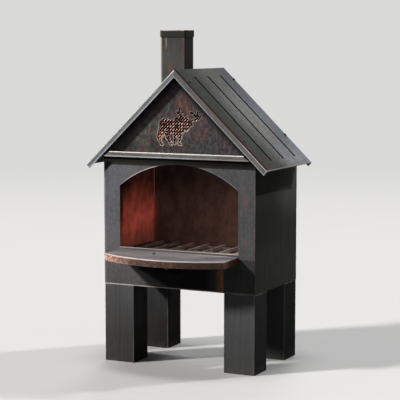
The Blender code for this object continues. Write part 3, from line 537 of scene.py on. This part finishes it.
# The fourth, dark cloud, low at the left, is painted shade under the left rake.
GABLE_CLOUDS = ((85, 97, 75, 60, linear(100, 70, 68)), (-130, 97, 80, 70, linear(92, 100, 90)),
                (30, 180, 50, 50, linear(112, 72, 60)), (-200, 25, 60, 50, linear(44, 44, 38)),
                (100, 35, 100, 50, linear(64, 74, 74)))
COPPER_SPOTS = ((42, 160, 26, 45), (12, 180, 14, 50), (52, 145, 30, 30), (-114, 87, 16, 16),
                (-150, 11, 30, 12), (-40, 11, 50, 12))


def gable_patina(s):
    """Blotchy brown, plum and greenish greys with dry vertical streaks and copper breaking through, darker
    high up and in the lower left corner as painted shade.
    """
    tone = s.mix(s.ramp(s.x, *past(0, -200, 200)), linear(68, 64, 62), linear(67, 64, 68))
    # Painted shade: darker high up, under the roof.
    tone = s.tint(tone, linear(60, 51, 45), s.ramp(s.z, *past(PANEL_TOP, 115, 235)), 0.6)
    streaks = s.noise(6, (1, 1, 14), detail=5, rough=0.65, low=0.38, high=0.66)
    broad = s.noise(24, (1, 1, 5), detail=5, rough=0.65, low=0.4, high=0.62)
    colour = s.brushed(tone, 0.9)
    dapple = s.noise(18, (1, 1, 1.6), detail=6, rough=0.7, low=0.4, high=0.64)
    corner = s.ramp(s.away(s.x), *past(0, 100, 190), 0.25, 0.7)
    colour = s.tint(colour, linear(104, 98, 96), streaks, dapple, corner)
    colour = s.tint(colour, linear(48, 43, 42), broad, 0.5)
    cool = s.noise(40, (1, 1, 1.4), detail=5, rough=0.6, low=0.5, high=0.66)
    colour = s.tint(colour, linear(74, 86, 88), cool, 0.5)
    plum = s.noise(22, (1, 1, 1.3), detail=6, rough=0.75, low=0.5, high=0.62)
    colour = s.tint(colour, linear(94, 70, 74), plum, 0.4)
    for *place, tone in GABLE_CLOUDS:
        patch = s.noise(17, (1, 1, 1.1), detail=6, rough=0.72, low=0.4, high=0.62)
        colour = s.tint(colour, tone, s.spot(*place), patch, 0.75)
    for tone, share in ((linear(132, 104, 100), 0.4), (linear(38, 36, 31), 0.5)):
        fleck = s.noise(13, (1, 1, 1.2), detail=6, rough=0.78, low=0.55, high=0.68)
        colour = s.tint(colour, tone, fleck, share)
    warm = s.noise(30, (1, 1, 1.8), detail=6, rough=0.7, low=0.5, high=0.66)
    colour = s.tint(colour, linear(112, 80, 68), warm, streaks, 0.35)
    for place in COPPER_SPOTS:
        colour = s.tint(colour, linear(148, 92, 74), s.spot(*place), streaks, dapple, 0.8)
    return s.scale(colour, 0.66, 1.36, s.speckle())


def rake_shade(s, colour):
    """Painted shade in strips along the two rakes, measured down from the top of the roof."""
    left, right = s.roof_depth(-1)[0], s.roof_depth(1)[0]
    low_end = s.ramp(s.z, *past(PANEL_TOP, 15, 85), 0.5, 1)
    colour = s.tint(colour, SHADE, s.ramp(left, *past(0, 30, 52), 0.85, 0), low_end)
    colour = s.tint(colour, SHADE, s.ramp(right, *past(0, 44, 54), 0.45, 0))
    return s.tint(colour, BLACK, s.ramp(right, *past(0, 38, 42), 0.92, 0))


def gable_paint():
    """The patina, with painted shade along the rakes, rubbed bright round the cut-out of the moose."""
    s = Surface("gable_paint")
    colour = rake_shade(s, gable_patina(s))
    worn = s.noise(8, rough=0.6, low=0.2, high=0.45)
    lip = s.times(s.worn_edge(4.6 * MM, 0.95, 0.9995), s.near_moose(), worn)
    low_part = s.either(s.fall(s.z, *past(PANEL_TOP, 85, 135)), 0.4)
    bright = s.times(low_part, s.noise(14, rough=0.6, low=0.3, high=0.52))
    lip_tone = s.mix(bright, linear(120, 86, 76), linear(255, 236, 224))
    colour = s.tint(colour, lip_tone, lip, s.ramp(s.z, *past(PANEL_TOP, 120, 145), 0.95, 0.6))
    colour, rough = sooted_with_painted_light(s, colour, s.mixed(s.streak, 0.45, 0.6))
    colour = s.tint(colour, lip_tone, s.cut_edge(), 0.95)
    return s.painted(colour, rough, specular=0.15)


# Roof

def roof_tone(s, down):
    """Grey that pales to the rear, darker near the ridge and low down at the front."""
    tone = s.mix(s.ramp(s.y, *past(ROOF_FRONT, 50, 260)), linear(66, 69, 65), linear(124, 124, 122))
    tone = s.tint(tone, linear(114, 119, 127), s.ramp(s.y, *past(ROOF_BACK, -120, -20)))
    tone = s.tint(tone, linear(66, 65, 63), s.fall(down, *past(0, 20, 260)), 0.4)
    low_part, front_part = s.ramp(down, *past(0, 340, 460)), s.fall(s.y, *past(ROOF_FRONT, 100, 280))
    tone = s.tint(tone, linear(158, 159, 165), low_part, s.inverse(front_part), 0.5)
    return s.tint(tone, linear(74, 72, 70), low_part, front_part, 0.7)


def front_rake(s, colour, side, below, down):
    """The front face of the roof with a painted highlight along its top and a dimmer painted highlight along
    its foot.
    """
    face = s.times(s.facing(FORWARD), s.fall(s.y, *past(ROOF_FRONT, 2, 4)))
    blotch = s.noise(20, (1, 1, 2), detail=5)
    if side > 0:
        fascia = s.mix(blotch, linear(100, 104, 104), linear(118, 112, 109))
        top_highlight_tone = s.mix(s.ramp(down, *past(0, 300, 420)), linear(140, 108, 102), linear(240, 232, 228))
        top_highlight = s.band(below, 1.8 * MM, 0.7 * MM, 0.5 * MM)
        foot_highlight_tone, foot_highlight = linear(168, 173, 174), s.ramp(below, *past(0, 16.4, 17.4))
    else:
        fascia = s.mix(blotch, linear(112, 116, 118), linear(136, 136, 134))
        top_highlight_tone = linear(255, 252, 244)
        top_highlight = s.band(below, 2.2 * MM, 1.1 * MM, 0.7 * MM)
        foot_highlight_tone, foot_highlight = linear(186, 192, 202), s.ramp(below, *past(0, 15, 16))
    colour = s.tint(colour, fascia, face)
    wavy = s.noise(20, (1, 1, 3), low=0.25, high=0.6)
    outermost = s.fall(s.y, *past(ROOF_FRONT, 1, 2.2))
    # Painted highlight along the top of the face, and a dimmer one along its foot.
    colour = s.tint(colour, top_highlight_tone, top_highlight, outermost, s.mixed(wavy, 0.6, 1.0))
    return s.tint(colour, foot_highlight_tone, foot_highlight, face, s.mixed(wavy, 0.55, 0.9))


def roof_edges(s, colour, below, down):
    """The dark strip behind the front rake, and the worn rear and eave edges."""
    top_face = s.fall(below, *past(0, 0.7, 1.4))
    lower = s.ramp(down, *past(0, 120, 200))
    colour = s.tint(colour, linear(84, 58, 54), s.fall(s.y, *past(ROOF_FRONT, 16, 50)), lower, top_face, 0.4)
    tone = s.mix(lower, linear(24, 22, 20), linear(40, 24, 20))
    colour = s.tint(colour, tone, s.fall(s.y, *past(ROOF_FRONT, 10, 22)), top_face, 0.85)
    colour = s.tint(colour, linear(170, 166, 160), s.band(s.y, ROOF_BACK, 1.5 * MM, 2 * MM), 0.5)
    return s.tint(colour, linear(168, 164, 160), s.ramp(down, *past(EAVE_DEPTH, -4, -1)), 0.45)


def groove_shade(s, colour, below, down):
    """Painted shade, black, in and beside the pressed grooves."""
    groove = 0.0
    for index in range(GROOVE_COUNT):
        place = GROOVE_FRONT + index * (GROOVE_REAR - GROOVE_FRONT) / (GROOVE_COUNT - 1)
        groove = s.either(groove, s.band(s.y, place, GROOVE_HALF, 1.2 * MM))
    length = s.between(down, *GROOVE_ENDS, 2 * MM)
    # Painted shade, black, a little wider than the grooves themselves.
    return s.tint(colour, linear(3, 3, 3), groove, length, s.fall(below, *past(0, 2, 4)), 0.98)


def roof_paint(name, side):
    """The paint of the right sheet, where side is 1, or of the left one, where it is -1."""
    s = Surface(name, side * (math.pi / 2 - PITCH))
    below, down = s.roof_depth(side)
    colour = s.brushed(roof_tone(s, down), 0.6)
    colour = s.scale(colour, 0.86, 1.16, s.noise(5.5, (1, 1.4, 1.4), detail=3))
    colour = front_rake(s, colour, side, below, down)
    colour = roof_edges(s, colour, below, down)
    sheet_foot = s.ramp(below, *past(0, 1, 1.6))
    # Painted shade on the underside of the sheet.
    colour = s.tint(colour, linear(14, 13, 12), s.facing(DOWN), sheet_foot, 0.92)
    colour = groove_shade(s, colour, below, down)
    outward = s.facing((side * math.sin(PITCH), 0, math.cos(PITCH)), 0.1, 0.3)
    inside = s.times(s.inside(), sheet_foot, s.inverse(outward))
    colour = s.tint(colour, linear(40, 27, 23), inside)
    rough = s.mixed(inside, s.mixed(s.cloud, 0.4, 0.54), 0.85)
    return s.painted(colour, rough, specular=0.008)


# Crossbar and chimney

def crossbar_paint():
    """Half-bare grey with a painted highlight along the top and a dimmer pale line along the foot."""
    s = Surface("crossbar_paint")
    low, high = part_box("crossbar")
    blotch = s.noise(20, (2.5, 1, 1), detail=5)
    colour = s.brushed(s.mix(blotch, linear(88, 91, 88), linear(108, 103, 100)), 0.5)
    broken = s.noise(30, (3, 1, 1), low=0.2, high=0.6)
    near = s.fall(s.y, *past(low.y, 2, 5))
    # Painted highlight along the top edge.
    top = s.times(s.ramp(s.z, *past(high.z, -4, -2)), near)
    colour = s.tint(colour, linear(255, 242, 236), top, s.mixed(broken, 0.75, 1.0))
    foot = s.times(s.fall(s.z, *past(low.z, 3.4, 5)), near, s.ramp(s.x, *past(0, -100, 200), 0.9, 0.35))
    colour = s.tint(colour, linear(200, 202, 208), foot, s.mixed(broken, 0.6, 1.0))
    ends = s.ramp(s.away(s.x), *past(high.x, -22, -4))
    colour = s.tint(colour, linear(140, 128, 122), ends, s.facing(UP), 0.7)
    return s.painted(colour, s.mixed(blotch, 0.36, 0.5), specular=0.45, metallic=0.2)


def chimney_face(s, low, high):
    """Streaky paint, bluish in the middle, with a painted highlight down the left corner, a rubbed right
    corner, a painted glint and a rusty spot.
    """
    tone = s.mix(s.ramp(s.x, low.x, high.x), linear(88, 86, 83), linear(82, 78, 76))
    colour = s.brushed(tone, 1.1)
    streaks = s.noise(6, (1, 1, 14), detail=5, rough=0.65, low=0.4, high=0.66)
    colour = s.tint(colour, linear(78, 84, 94), s.band(s.x, (low.x + high.x) / 2, 8 * MM, 18 * MM), 0.3)
    colour = s.tint(colour, linear(110, 95, 91), s.ramp(s.x, *past(high.x, -34, -8)), streaks, 0.6)
    front = s.facing(FORWARD)
    # Painted highlight down the left corner of the front.
    colour = s.tint(colour, linear(178, 160, 148), s.band(s.x, low.x + 2 * MM, 2.5 * MM, 3 * MM), front, 0.8)
    # Painted glint: a short pale streak high on the front.
    glint = s.times(s.band(s.x, low.x + 23 * MM, 1.4 * MM, 2.6 * MM),
                   s.band(s.z, high.z - 44 * MM, 8 * MM, 22 * MM))
    colour = s.tint(colour, linear(158, 148, 134), glint, front, s.mixed(streaks, 0.55, 0.9))
    colour = s.tint(colour, linear(126, 116, 110), s.band(s.x, high.x - 1 * MM, 1.5 * MM, 2 * MM), front, 0.4)
    centre = (low.x + 38 * MM, low.y, high.z - 126.5 * MM)
    rust = s.blob(centre, (16 * MM, 30 * MM, 30 * MM))
    worn = s.noise(7, (1, 1, 3), rough=0.6, low=0.3, high=0.6)
    return s.tint(colour, linear(138, 88, 66), rust, worn, 0.55)


def chimney_paint():
    """The paint of the tube and its band, which stands out past the tube, with a painted highlight along the
    top edge, painted shade on the right and back faces, and the sooty flue.
    """
    s = Surface("chimney_paint")
    low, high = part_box("chimney_tube")
    colour = chimney_face(s, low, high)
    banded = s.fall(s.y, *past(low.y, -2.6, -1.6))
    colour = s.tint(colour, linear(55, 53, 47), banded, 0.8)
    band_corner = s.fall(s.x, *past(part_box("chimney_band")[0].x, 2, 5))
    colour = s.tint(colour, linear(190, 172, 156), band_corner, banded, 0.7)
    worn = s.noise(20, (2, 1, 1), low=0.2, high=0.55)
    # Painted highlight along the top edge, broken by wear.
    colour = s.tint(colour, linear(222, 196, 184), s.ramp(s.z, *past(high.z, -3.4, -1.6)), worn, 0.9)
    flue = s.times(s.between(s.x, *past(low.x, 1.2), *past(high.x, -1.2), 0.3 * MM),
                   s.between(s.y, *past(low.y, 1.2), *past(high.y, -1.2), 0.3 * MM))
    colour = s.tint(colour, linear(16, 13, 12), flue)
    # Painted shade on the right face, less on the band, and on the back face.
    side = s.facing(RIGHT)
    colour = s.tint(colour, linear(74, 83, 78), side, 0.5)
    colour = s.scale(colour, 1, 0.3, s.times(side, s.ramp(banded, 0, 1, 1, 0.45)))
    colour = s.scale(colour, 1, 0.65, s.facing(BACKWARD))
    rough = s.mixed(flue, s.mixed(s.cloud, 0.42, 0.56), 0.9)
    return s.painted(colour, rough, specular=0.02)


def flange_paint():
    """The paint of the flange, rubbed along narrower edges than the large sheets."""
    tone = linear(74, 73, 72)
    return body_paint("flange_paint", tone, specular=0.02, copper=0.2, wear=0.8 * MM, soot_and_painted_light=False)


# Hearth shelf

def shelf_slate(s):
    """The rubbed top with a dark stain near its right end, and the streaks in it."""
    slate = s.mix(s.noise(50, (2.4, 1, 1), detail=5), linear(110, 109, 115), linear(130, 124, 125))
    streak = s.noise(6, (9, 1, 1))
    stain = s.blob((155 * MM, FRONT - 70 * MM, SHELF_TOP), (45 * MM, 35 * MM, 20 * MM))
    slate = s.scale(slate, 0.9, 1.12, streak)
    return s.tint(slate, linear(58, 50, 48), stain, s.noise(12), 0.7), streak


def shelf_rim(s, blotch, fine):
    """Dark rim, rubbed back to copper and pale metal towards its left end, with painted shade on its
    right-facing end.
    """
    rim = s.mix(fine, linear(48, 36, 31), linear(82, 63, 55))
    rim = s.tint(rim, linear(114, 84, 71), blotch, 0.7)
    flicker = s.noise(8, (1.6, 1, 1), detail=5, rough=0.7, low=0.42, high=0.6)
    flame = s.mix(flicker, linear(198, 116, 84), linear(240, 220, 208))
    rim = s.tint(rim, flame, s.fall(s.x, *past(-SHELF_HALF, 0, 170)), s.mixed(blotch, 0.55, 0.95))
    rim = s.tint(rim, linear(38, 27, 19), s.ramp(s.x, *past(0, 20, 150)), 0.72)
    # Painted shade on the right-facing end.
    rim = s.tint(rim, linear(40, 38, 34), s.facing(RIGHT))
    corner = s.times(s.band(s.x, SHELF_HALF - 6 * MM, 7 * MM, 8 * MM), s.noise(20, (1, 1, 3)))
    return s.tint(rim, linear(120, 58, 34), corner, 0.7)


def shelf_paint():
    """Slate-coloured top, rubbed rim, a bright lip between them and an underside painted dark as painted
    shade.
    """
    s = Surface("shelf_paint")
    top = s.ramp(s.z, *past(SHELF_TOP, -2.2, -1))
    slate, streak = shelf_slate(s)
    blotch = s.noise(9, (1.8, 1, 1), detail=6, rough=0.75, low=0.42, high=0.6)
    fine = s.noise(4.5, (1.5, 1, 1))
    colour = s.mix(top, shelf_rim(s, blotch, fine), slate)
    lip = s.times(s.band(s.z, SHELF_TOP - 2.2 * MM, 1.6 * MM, 0.8 * MM), s.inverse(s.facing(UP, 0.93, 0.995)))
    worn = s.mixed(s.noise(20, (2, 1, 1), low=0.2, high=0.5), 0.6, 1.0)
    colour = s.tint(colour, linear(230, 210, 202), lip, worn, s.ramp(s.x, *past(0, -200, 220), 0.95, 0.7))
    under = s.facing(DOWN)
    # Painted shade on the underside.
    colour = s.tint(colour, linear(30, 27, 25), under)
    rough = s.mixed(top, s.mixed(blotch, 0.36, 0.52), 0.44)
    metal = s.times(s.mixed(top, 0.45, 0.1), s.inverse(under))
    peel = s.noise(4, detail=2)
    heights = (streak, 0.4), (fine, 0.3), (peel, 0.4)
    return s.shell(colour, rough, specular=0.4, metallic=metal, heights=heights)


# Legs

def leg_paint(name, left_light, right_light, side_light):
    """Paint for a pair of legs, its tone scaled on the left leg, on the right one and on right faces as
    painted light and shade.
    """
    s = Surface(name)
    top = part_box("leg_front_left")[1].z
    rightness = s.ramp(s.x, *LEFT_TO_RIGHT)
    tone = s.mix(s.ramp(s.z, 20 * MM, top), linear(60, 59, 58), linear(80, 80, 81))
    tone = s.tint(tone, linear(68, 69, 70), rightness, 0.55)
    # Painted light and shade: the tone is scaled per leg and darkened on right faces.
    colour = s.brushed(s.scale(tone, left_light, right_light, rightness), 0.5)
    colour = s.scale(colour, 1, side_light, s.facing(RIGHT))
    # Painted shade on the left faces.
    colour = s.scale(colour, 1, 0.7, s.facing(LEFT))
    corners = [s.band(s.x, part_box(leg)[1].x - 1.5 * MM, 1.5 * MM, 2 * MM)
               for leg in ("leg_front_left", "leg_front_right")]
    worn = s.noise(40, (1, 1, 4), low=0.2, high=0.6)
    colour = s.tint(colour, linear(132, 128, 124), s.either(*corners), s.facing(FORWARD, 0.2, 0.6), worn, 0.7)
    # Painted highlight on the fold at the top of each leg, broken by wear.
    cap = s.times(s.band(s.z, top, 1.6 * MM, 1.6 * MM), s.noise(20, (3, 1, 1)))
    colour = s.tint(colour, linear(150, 140, 134), cap, 0.75)
    scuff = s.times(s.fall(s.z, *past(0, 4, 40)), s.noise(12, (1, 1, 1.5), detail=5))
    colour = s.tint(colour, linear(92, 88, 84), scuff, 0.3)
    return s.painted(colour, s.mixed(s.cloud, 0.46, 0.6), specular=0.01)


# Bare metal

def fire_steel():
    """Burnt steel with rust, and ash on what faces up."""
    s = Surface("fire_steel")
    mottle = s.noise(60, detail=6, rough=0.65)
    fine = s.noise(8, detail=5, rough=0.65)
    colour = s.scale(s.mix(mottle, linear(34, 31, 29), linear(58, 48, 43)), 0.8, 1.2, fine)
    rust = s.noise(20, detail=6, rough=0.7, low=0.55, high=0.68)
    colour = s.tint(colour, linear(94, 62, 44), rust, 0.6)
    ash = s.times(s.facing(UP), s.noise(30, detail=6, rough=0.65, low=0.42, high=0.64))
    colour = s.tint(colour, linear(120, 114, 108), ash, 0.45)
    heights = (fine, 0.8), (mottle, 0.8)
    return s.shell(colour, s.mixed(fine, 0.62, 0.85), specular=0.3, metallic=0.2, heights=heights)


def grate_iron():
    """Sand-cast iron, rubbed along its edges and dusty on top."""
    s = Surface("grate_iron")
    sand = s.noise(2.5, rough=0.6)
    mottle = s.noise(30, detail=5)
    colour = s.mix(mottle, linear(44, 40, 38), linear(72, 60, 54))
    colour = s.tint(colour, linear(118, 100, 90), s.worn_edge(3 * MM), s.noise(10), 0.6)
    dust = s.times(s.facing(UP), s.noise(18, detail=6, rough=0.65))
    colour = s.tint(colour, linear(136, 130, 124), dust, 0.5)
    rough, heights = s.mixed(sand, 0.6, 0.8), ((sand, 1.2), (mottle, 0.5))
    return s.shell(colour, rough, specular=0.4, metallic=0.3, heights=heights, depth=0.4 * MM)


def bare_mesh():
    """Dark red strands with painted highlights on the knots, a painted glow of firelight on the haunch and
    painted shade, black, over the antler part.
    """
    s = Surface("bare_mesh")
    colour = s.mix(s.noise(20, detail=5), linear(48, 13, 10), linear(74, 25, 20))
    fine = s.noise(3)
    colour = s.scale(colour, 0.7, 1.2, fine)
    uneven = s.noise(12, detail=2, rough=0.5, low=0.3, high=0.6)
    # Painted highlight on the knot faces turned to the upper left.
    colour = s.tint(colour, linear(255, 214, 200), s.facing(KNOT_NORMAL, 0.97, 0.99), uneven)
    uneven = s.noise(10, detail=3, rough=0.6, high=0.55)
    # Painted glow of firelight on the haunch.
    colour = s.tint(colour, linear(255, 182, 130), s.spot(-62, 65, 26, 30), uneven, 0.85)
    # Painted shade: the antler part is black.
    antlers = s.either(s.spot(85, 147, 40, 28), s.spot(0, 171, 26, 32))
    colour = s.tint(colour, linear(12, 8, 7), antlers, 0.9)
    return s.shell(colour, s.mixed(fine, 0.4, 0.6), specular=0.3, metallic=0.3, heights=((fine, 0.6),))


def dark_fastener():
    """Blackened steel, bare along its edges."""
    s = Surface("dark_fastener")
    wear = s.noise(2, detail=3)
    colour = s.mix(wear, linear(36, 34, 34), linear(66, 62, 60))
    colour = s.tint(colour, linear(150, 144, 140), s.worn_edge(0.8 * MM), 0.5)
    rough, heights = s.mixed(wear, 0.28, 0.45), ((wear, 0.4),)
    return s.shell(colour, rough, specular=0.5, metallic=0.7, heights=heights, depth=0.1 * MM)


# Expanded-metal mesh behind the moose

def close_box(bm, rings):
    """The closed solid between two rings of four points."""
    near, far = [[bm.verts.new(point) for point in ring] for ring in rings]
    for i in range(4):
        bm.faces.new((near[i], near[(i + 1) % 4], far[(i + 1) % 4], far[i]))
    bm.faces.new(near[::-1])
    bm.faces.new(far)


def strand(bm, a, b, half, thick, lean):
    """One flat strand from a to b, its flat turned by lean about its length."""
    along = (b - a).normalized()
    out = Matrix.Rotation(lean, 3, along) @ Vector(BACKWARD)
    wide = along.cross(out)
    overlap = along * half * 0.4
    corners = [wide * i * half + out * j * thick / 2 for i, j in ((-1, -1), (1, -1), (1, 1), (-1, 1))]
    close_box(bm, [[point + corner for corner in corners] for point in (a - overlap, b + overlap)])


def knot(bm, at):
    """The broad joint of four strands, turned so that it catches the light from the upper left."""
    turn = Vector(FORWARD).rotation_difference(KNOT_NORMAL).to_matrix()
    outline = (-KNOT_WIDTH, 0), (0, -KNOT_HEIGHT), (KNOT_WIDTH, 0), (0, KNOT_HEIGHT)
    close_box(bm, [[at + turn @ Vector((x, y, z)) for x, z in outline]
                   for y in (-KNOT_THICKNESS / 2, KNOT_THICKNESS / 2)])


def mesh_cell(bm, left, foot, y):
    """The four strands of one diamond and the knots at its left and lower corners."""
    across, up = Vector((CELL_WIDTH, 0, 0)), Vector((0, 0, CELL_HEIGHT))
    corner = Vector((left, y, foot))
    west, east = corner + up / 2, corner + up / 2 + across
    south, north = corner + across / 2, corner + across / 2 + up
    for a, b, lean in ((west, south, STRAND_LEAN), (south, east, STRAND_LEAN),
                       (west, north, -STRAND_LEAN), (north, east, -STRAND_LEAN)):
        strand(bm, a, b, STRAND_HALF, STRAND_THICKNESS, lean)
    knot(bm, west)
    knot(bm, south)


def make_moose_mesh():
    """Whole diamonds in the middle of the solid mesh's room, with a rim round it."""
    low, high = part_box("moose_mesh")
    y = (low.y + high.y) / 2
    columns = int((high.x - low.x) / CELL_WIDTH)
    rows = int((high.z - low.z) / CELL_HEIGHT)
    start_x = (low.x + high.x - columns * CELL_WIDTH) / 2
    start_z = (low.z + high.z - rows * CELL_HEIGHT) / 2
    bm = bmesh.new()
    for row in range(rows):
        for column in range(columns):
            mesh_cell(bm, start_x + column * CELL_WIDTH, start_z + row * CELL_HEIGHT, y)
    west, east, south, north = low.x + RIM_HALF, high.x - RIM_HALF, low.z + RIM_HALF, high.z - RIM_HALF
    corners = [Vector((x, y, z)) for x, z in ((west, south), (east, south), (east, north), (west, north))]
    for i in range(4):
        strand(bm, corners[i], corners[(i + 1) % 4], RIM_HALF, RIM_THICKNESS, 0.0)
    bmesh.ops.recalc_face_normals(bm, faces=bm.faces)
    piece = make_object("moose_mesh_fine", bm, bare_mesh())
    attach(piece, "root")
    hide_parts("moose_mesh")


def make_object(name, bm, material):
    """A new object of that shape, linked into the scene; the shape is freed."""
    mesh = bpy.data.meshes.new(name)
    bm.to_mesh(mesh)
    bm.free()
    mesh.materials.append(material)
    obj = bpy.data.objects.new(name, mesh)
    bpy.context.scene.collection.objects.link(obj)
    return obj


def soften_edges():
    """Joins the triangles of each solid again and rounds its sharp edges a little."""
    for name, node in NODES.items():
        if name == "moose_mesh":
            continue
        weld = node.modifiers.new("join", "WELD")
        weld.merge_threshold = WELD_REACH
        bevel = node.modifiers.new("round", "BEVEL")
        bevel.width = FASTENER_ROUND if name in FASTENERS else EDGE_ROUND
        bevel.segments = ROUND_SEGMENTS
        bevel.limit_method = "ANGLE"
        bevel.angle_limit = SHARP_ANGLE


# Studio

def make_floor():
    """A pale floor that fades into the background with distance."""
    s = Surface("floor")
    seen = s.seen_rays()
    far = s.ramp(s.vector("LENGTH", s.place, (0, 0, 0), "Value"), *FLOOR_FADE)
    pale = s.mix(s.noise(400, detail=3), *FLOOR_TONES)
    near = s.add("ShaderNodeBsdfDiffuse", {"Color": s.mix(seen, FLOOR_BOUNCE, pale)})
    glow = s.add("ShaderNodeEmission", {"Color": BACKGROUND, "Strength": 1.0})
    s.end("ShaderNodeOutputMaterial", s.add("ShaderNodeMixShader", {0: s.times(far, seen), 1: near, 2: glow}))
    bm = bmesh.new()
    bmesh.ops.create_circle(bm, cap_ends=True, segments=64, radius=FLOOR_RADIUS)
    make_object("floor", bm, s.material)


def make_world():
    """The background that the camera and reflections show, and a weak even light for all else."""
    world = bpy.data.worlds.new("studio")
    bpy.context.scene.world = world
    world.use_nodes = True
    n = Nodes(world.node_tree)
    ambient = n.add("ShaderNodeBackground", {"Color": AMBIENT_COLOUR, "Strength": AMBIENT_STRENGTH})
    backdrop = n.add("ShaderNodeBackground", {"Color": BACKGROUND, "Strength": 1.0})
    n.end("ShaderNodeOutputWorld", n.add("ShaderNodeMixShader", {0: n.seen_rays(), 1: ambient, 2: backdrop}))


def place_lamp(lamp, travel, location=(0, 0, 0)):
    """Links the lamp, turned so that its light travels that way."""
    obj = bpy.data.objects.new(lamp.name, lamp)
    obj.location = location
    obj.rotation_mode = "QUATERNION"
    obj.rotation_quaternion = Vector(travel).to_track_quat("-Z", "Y")
    bpy.context.scene.collection.objects.link(obj)


def make_sun(name, travel, strength, spread, colour=(1, 1, 1)):
    """A sun whose light travels that way, with its spread in degrees."""
    sun = bpy.data.lights.new(name, "SUN")
    sun.energy = strength
    sun.angle = math.radians(spread)
    sun.color = colour
    place_lamp(sun, travel)


def make_firebox_lamp():
    """A small lamp at the right side of the firebox, for its left wall."""
    lamp = bpy.data.lights.new("firebox_lamp", "AREA")
    lamp.shape = "RECTANGLE"
    lamp.size, lamp.size_y = LAMP_SIZE
    lamp.energy = LAMP_POWER
    lamp.color = LAMP_COLOUR
    place_lamp(lamp, LAMP_TRAVEL, LAMP_PLACE)


def make_lights():
    """A key from the upper left of the front, weaker suns from above and from behind, and a small lamp."""
    make_sun("key", (1.05, 1.0, -0.92), strength=3.47, spread=6, colour=(1.0, 0.97, 0.94))
    make_sun("top", DOWN, strength=1.15, spread=16)
    make_sun("rear", (0.3, -1.0, -0.8), strength=0.9, spread=20)
    make_sun("low", (-1.0, -1.06, -1.44), strength=1.3, spread=5)
    make_firebox_lamp()


def make_camera():
    """The camera of the photograph."""
    camera = bpy.data.cameras.new("camera")
    camera.sensor_width = SENSOR_WIDTH
    camera.lens = FOCAL_LENGTH
    camera.clip_start, camera.clip_end = CLIP_RANGE
    obj = bpy.data.objects.new("camera", camera)
    obj.location = CAMERA_PLACE
    obj.rotation_euler = (CAMERA_TILT, 0, CAMERA_TURN)
    bpy.context.scene.collection.objects.link(obj)
    bpy.context.scene.camera = obj


def dress(material, *names):
    """Puts the material on some solids."""
    for name in names:
        for slot in NODES[name].material_slots:
            slot.material = material


make_camera()
make_lights()
make_floor()
make_world()
make_moose_mesh()
soften_edges()

dress(front_paint(), "front_panel")
dress(gable_paint(), "gable_front")
dress(roof_paint("roof_paint_right", 1), "roof_right")
dress(roof_paint("roof_paint_left", -1), "roof_left")
dress(crossbar_paint(), "crossbar")
dress(chimney_paint(), "chimney_tube", "chimney_band")
dress(flange_paint(), "chimney_flange")
dress(shelf_paint(), "shelf")
# The light factors paint light and shade on each leg; the rear pair are painted darker as painted shade.
dress(leg_paint("leg_paint", left_light=1.2, right_light=1.24, side_light=0.25),
      "leg_front_left", "leg_front_right")
dress(leg_paint("rear_leg_shaded_paint", left_light=0.62, right_light=1.15, side_light=0.12),
      "leg_rear_left", "leg_rear_right")
dress(side_paint(), "side_panel_left", "side_panel_right")
dress(body_paint("rear_paint", linear(78, 77, 77), specular=0.1, copper=0.35, depth=0.6), "rear_panel")
dress(fire_steel(), "fire_floor", "floor_rail_left", "floor_rail_right", "ridge_angle")
dress(body_paint("under_steel", linear(26, 25, 24), specular=0.03, copper=0.1), "base_panel")
# The brace is painted near-black as painted shade, for it sits in the shade of the shelf.
dress(body_paint("brace_shade_paint", linear(18, 17, 17), specular=0.004, copper=0.05, depth=0.5), "shelf_brace")
dress(grate_iron(), "log_grate")
dress(dark_fastener(), *FASTENERS)

bpy.context.scene.view_settings.view_transform = "Standard"
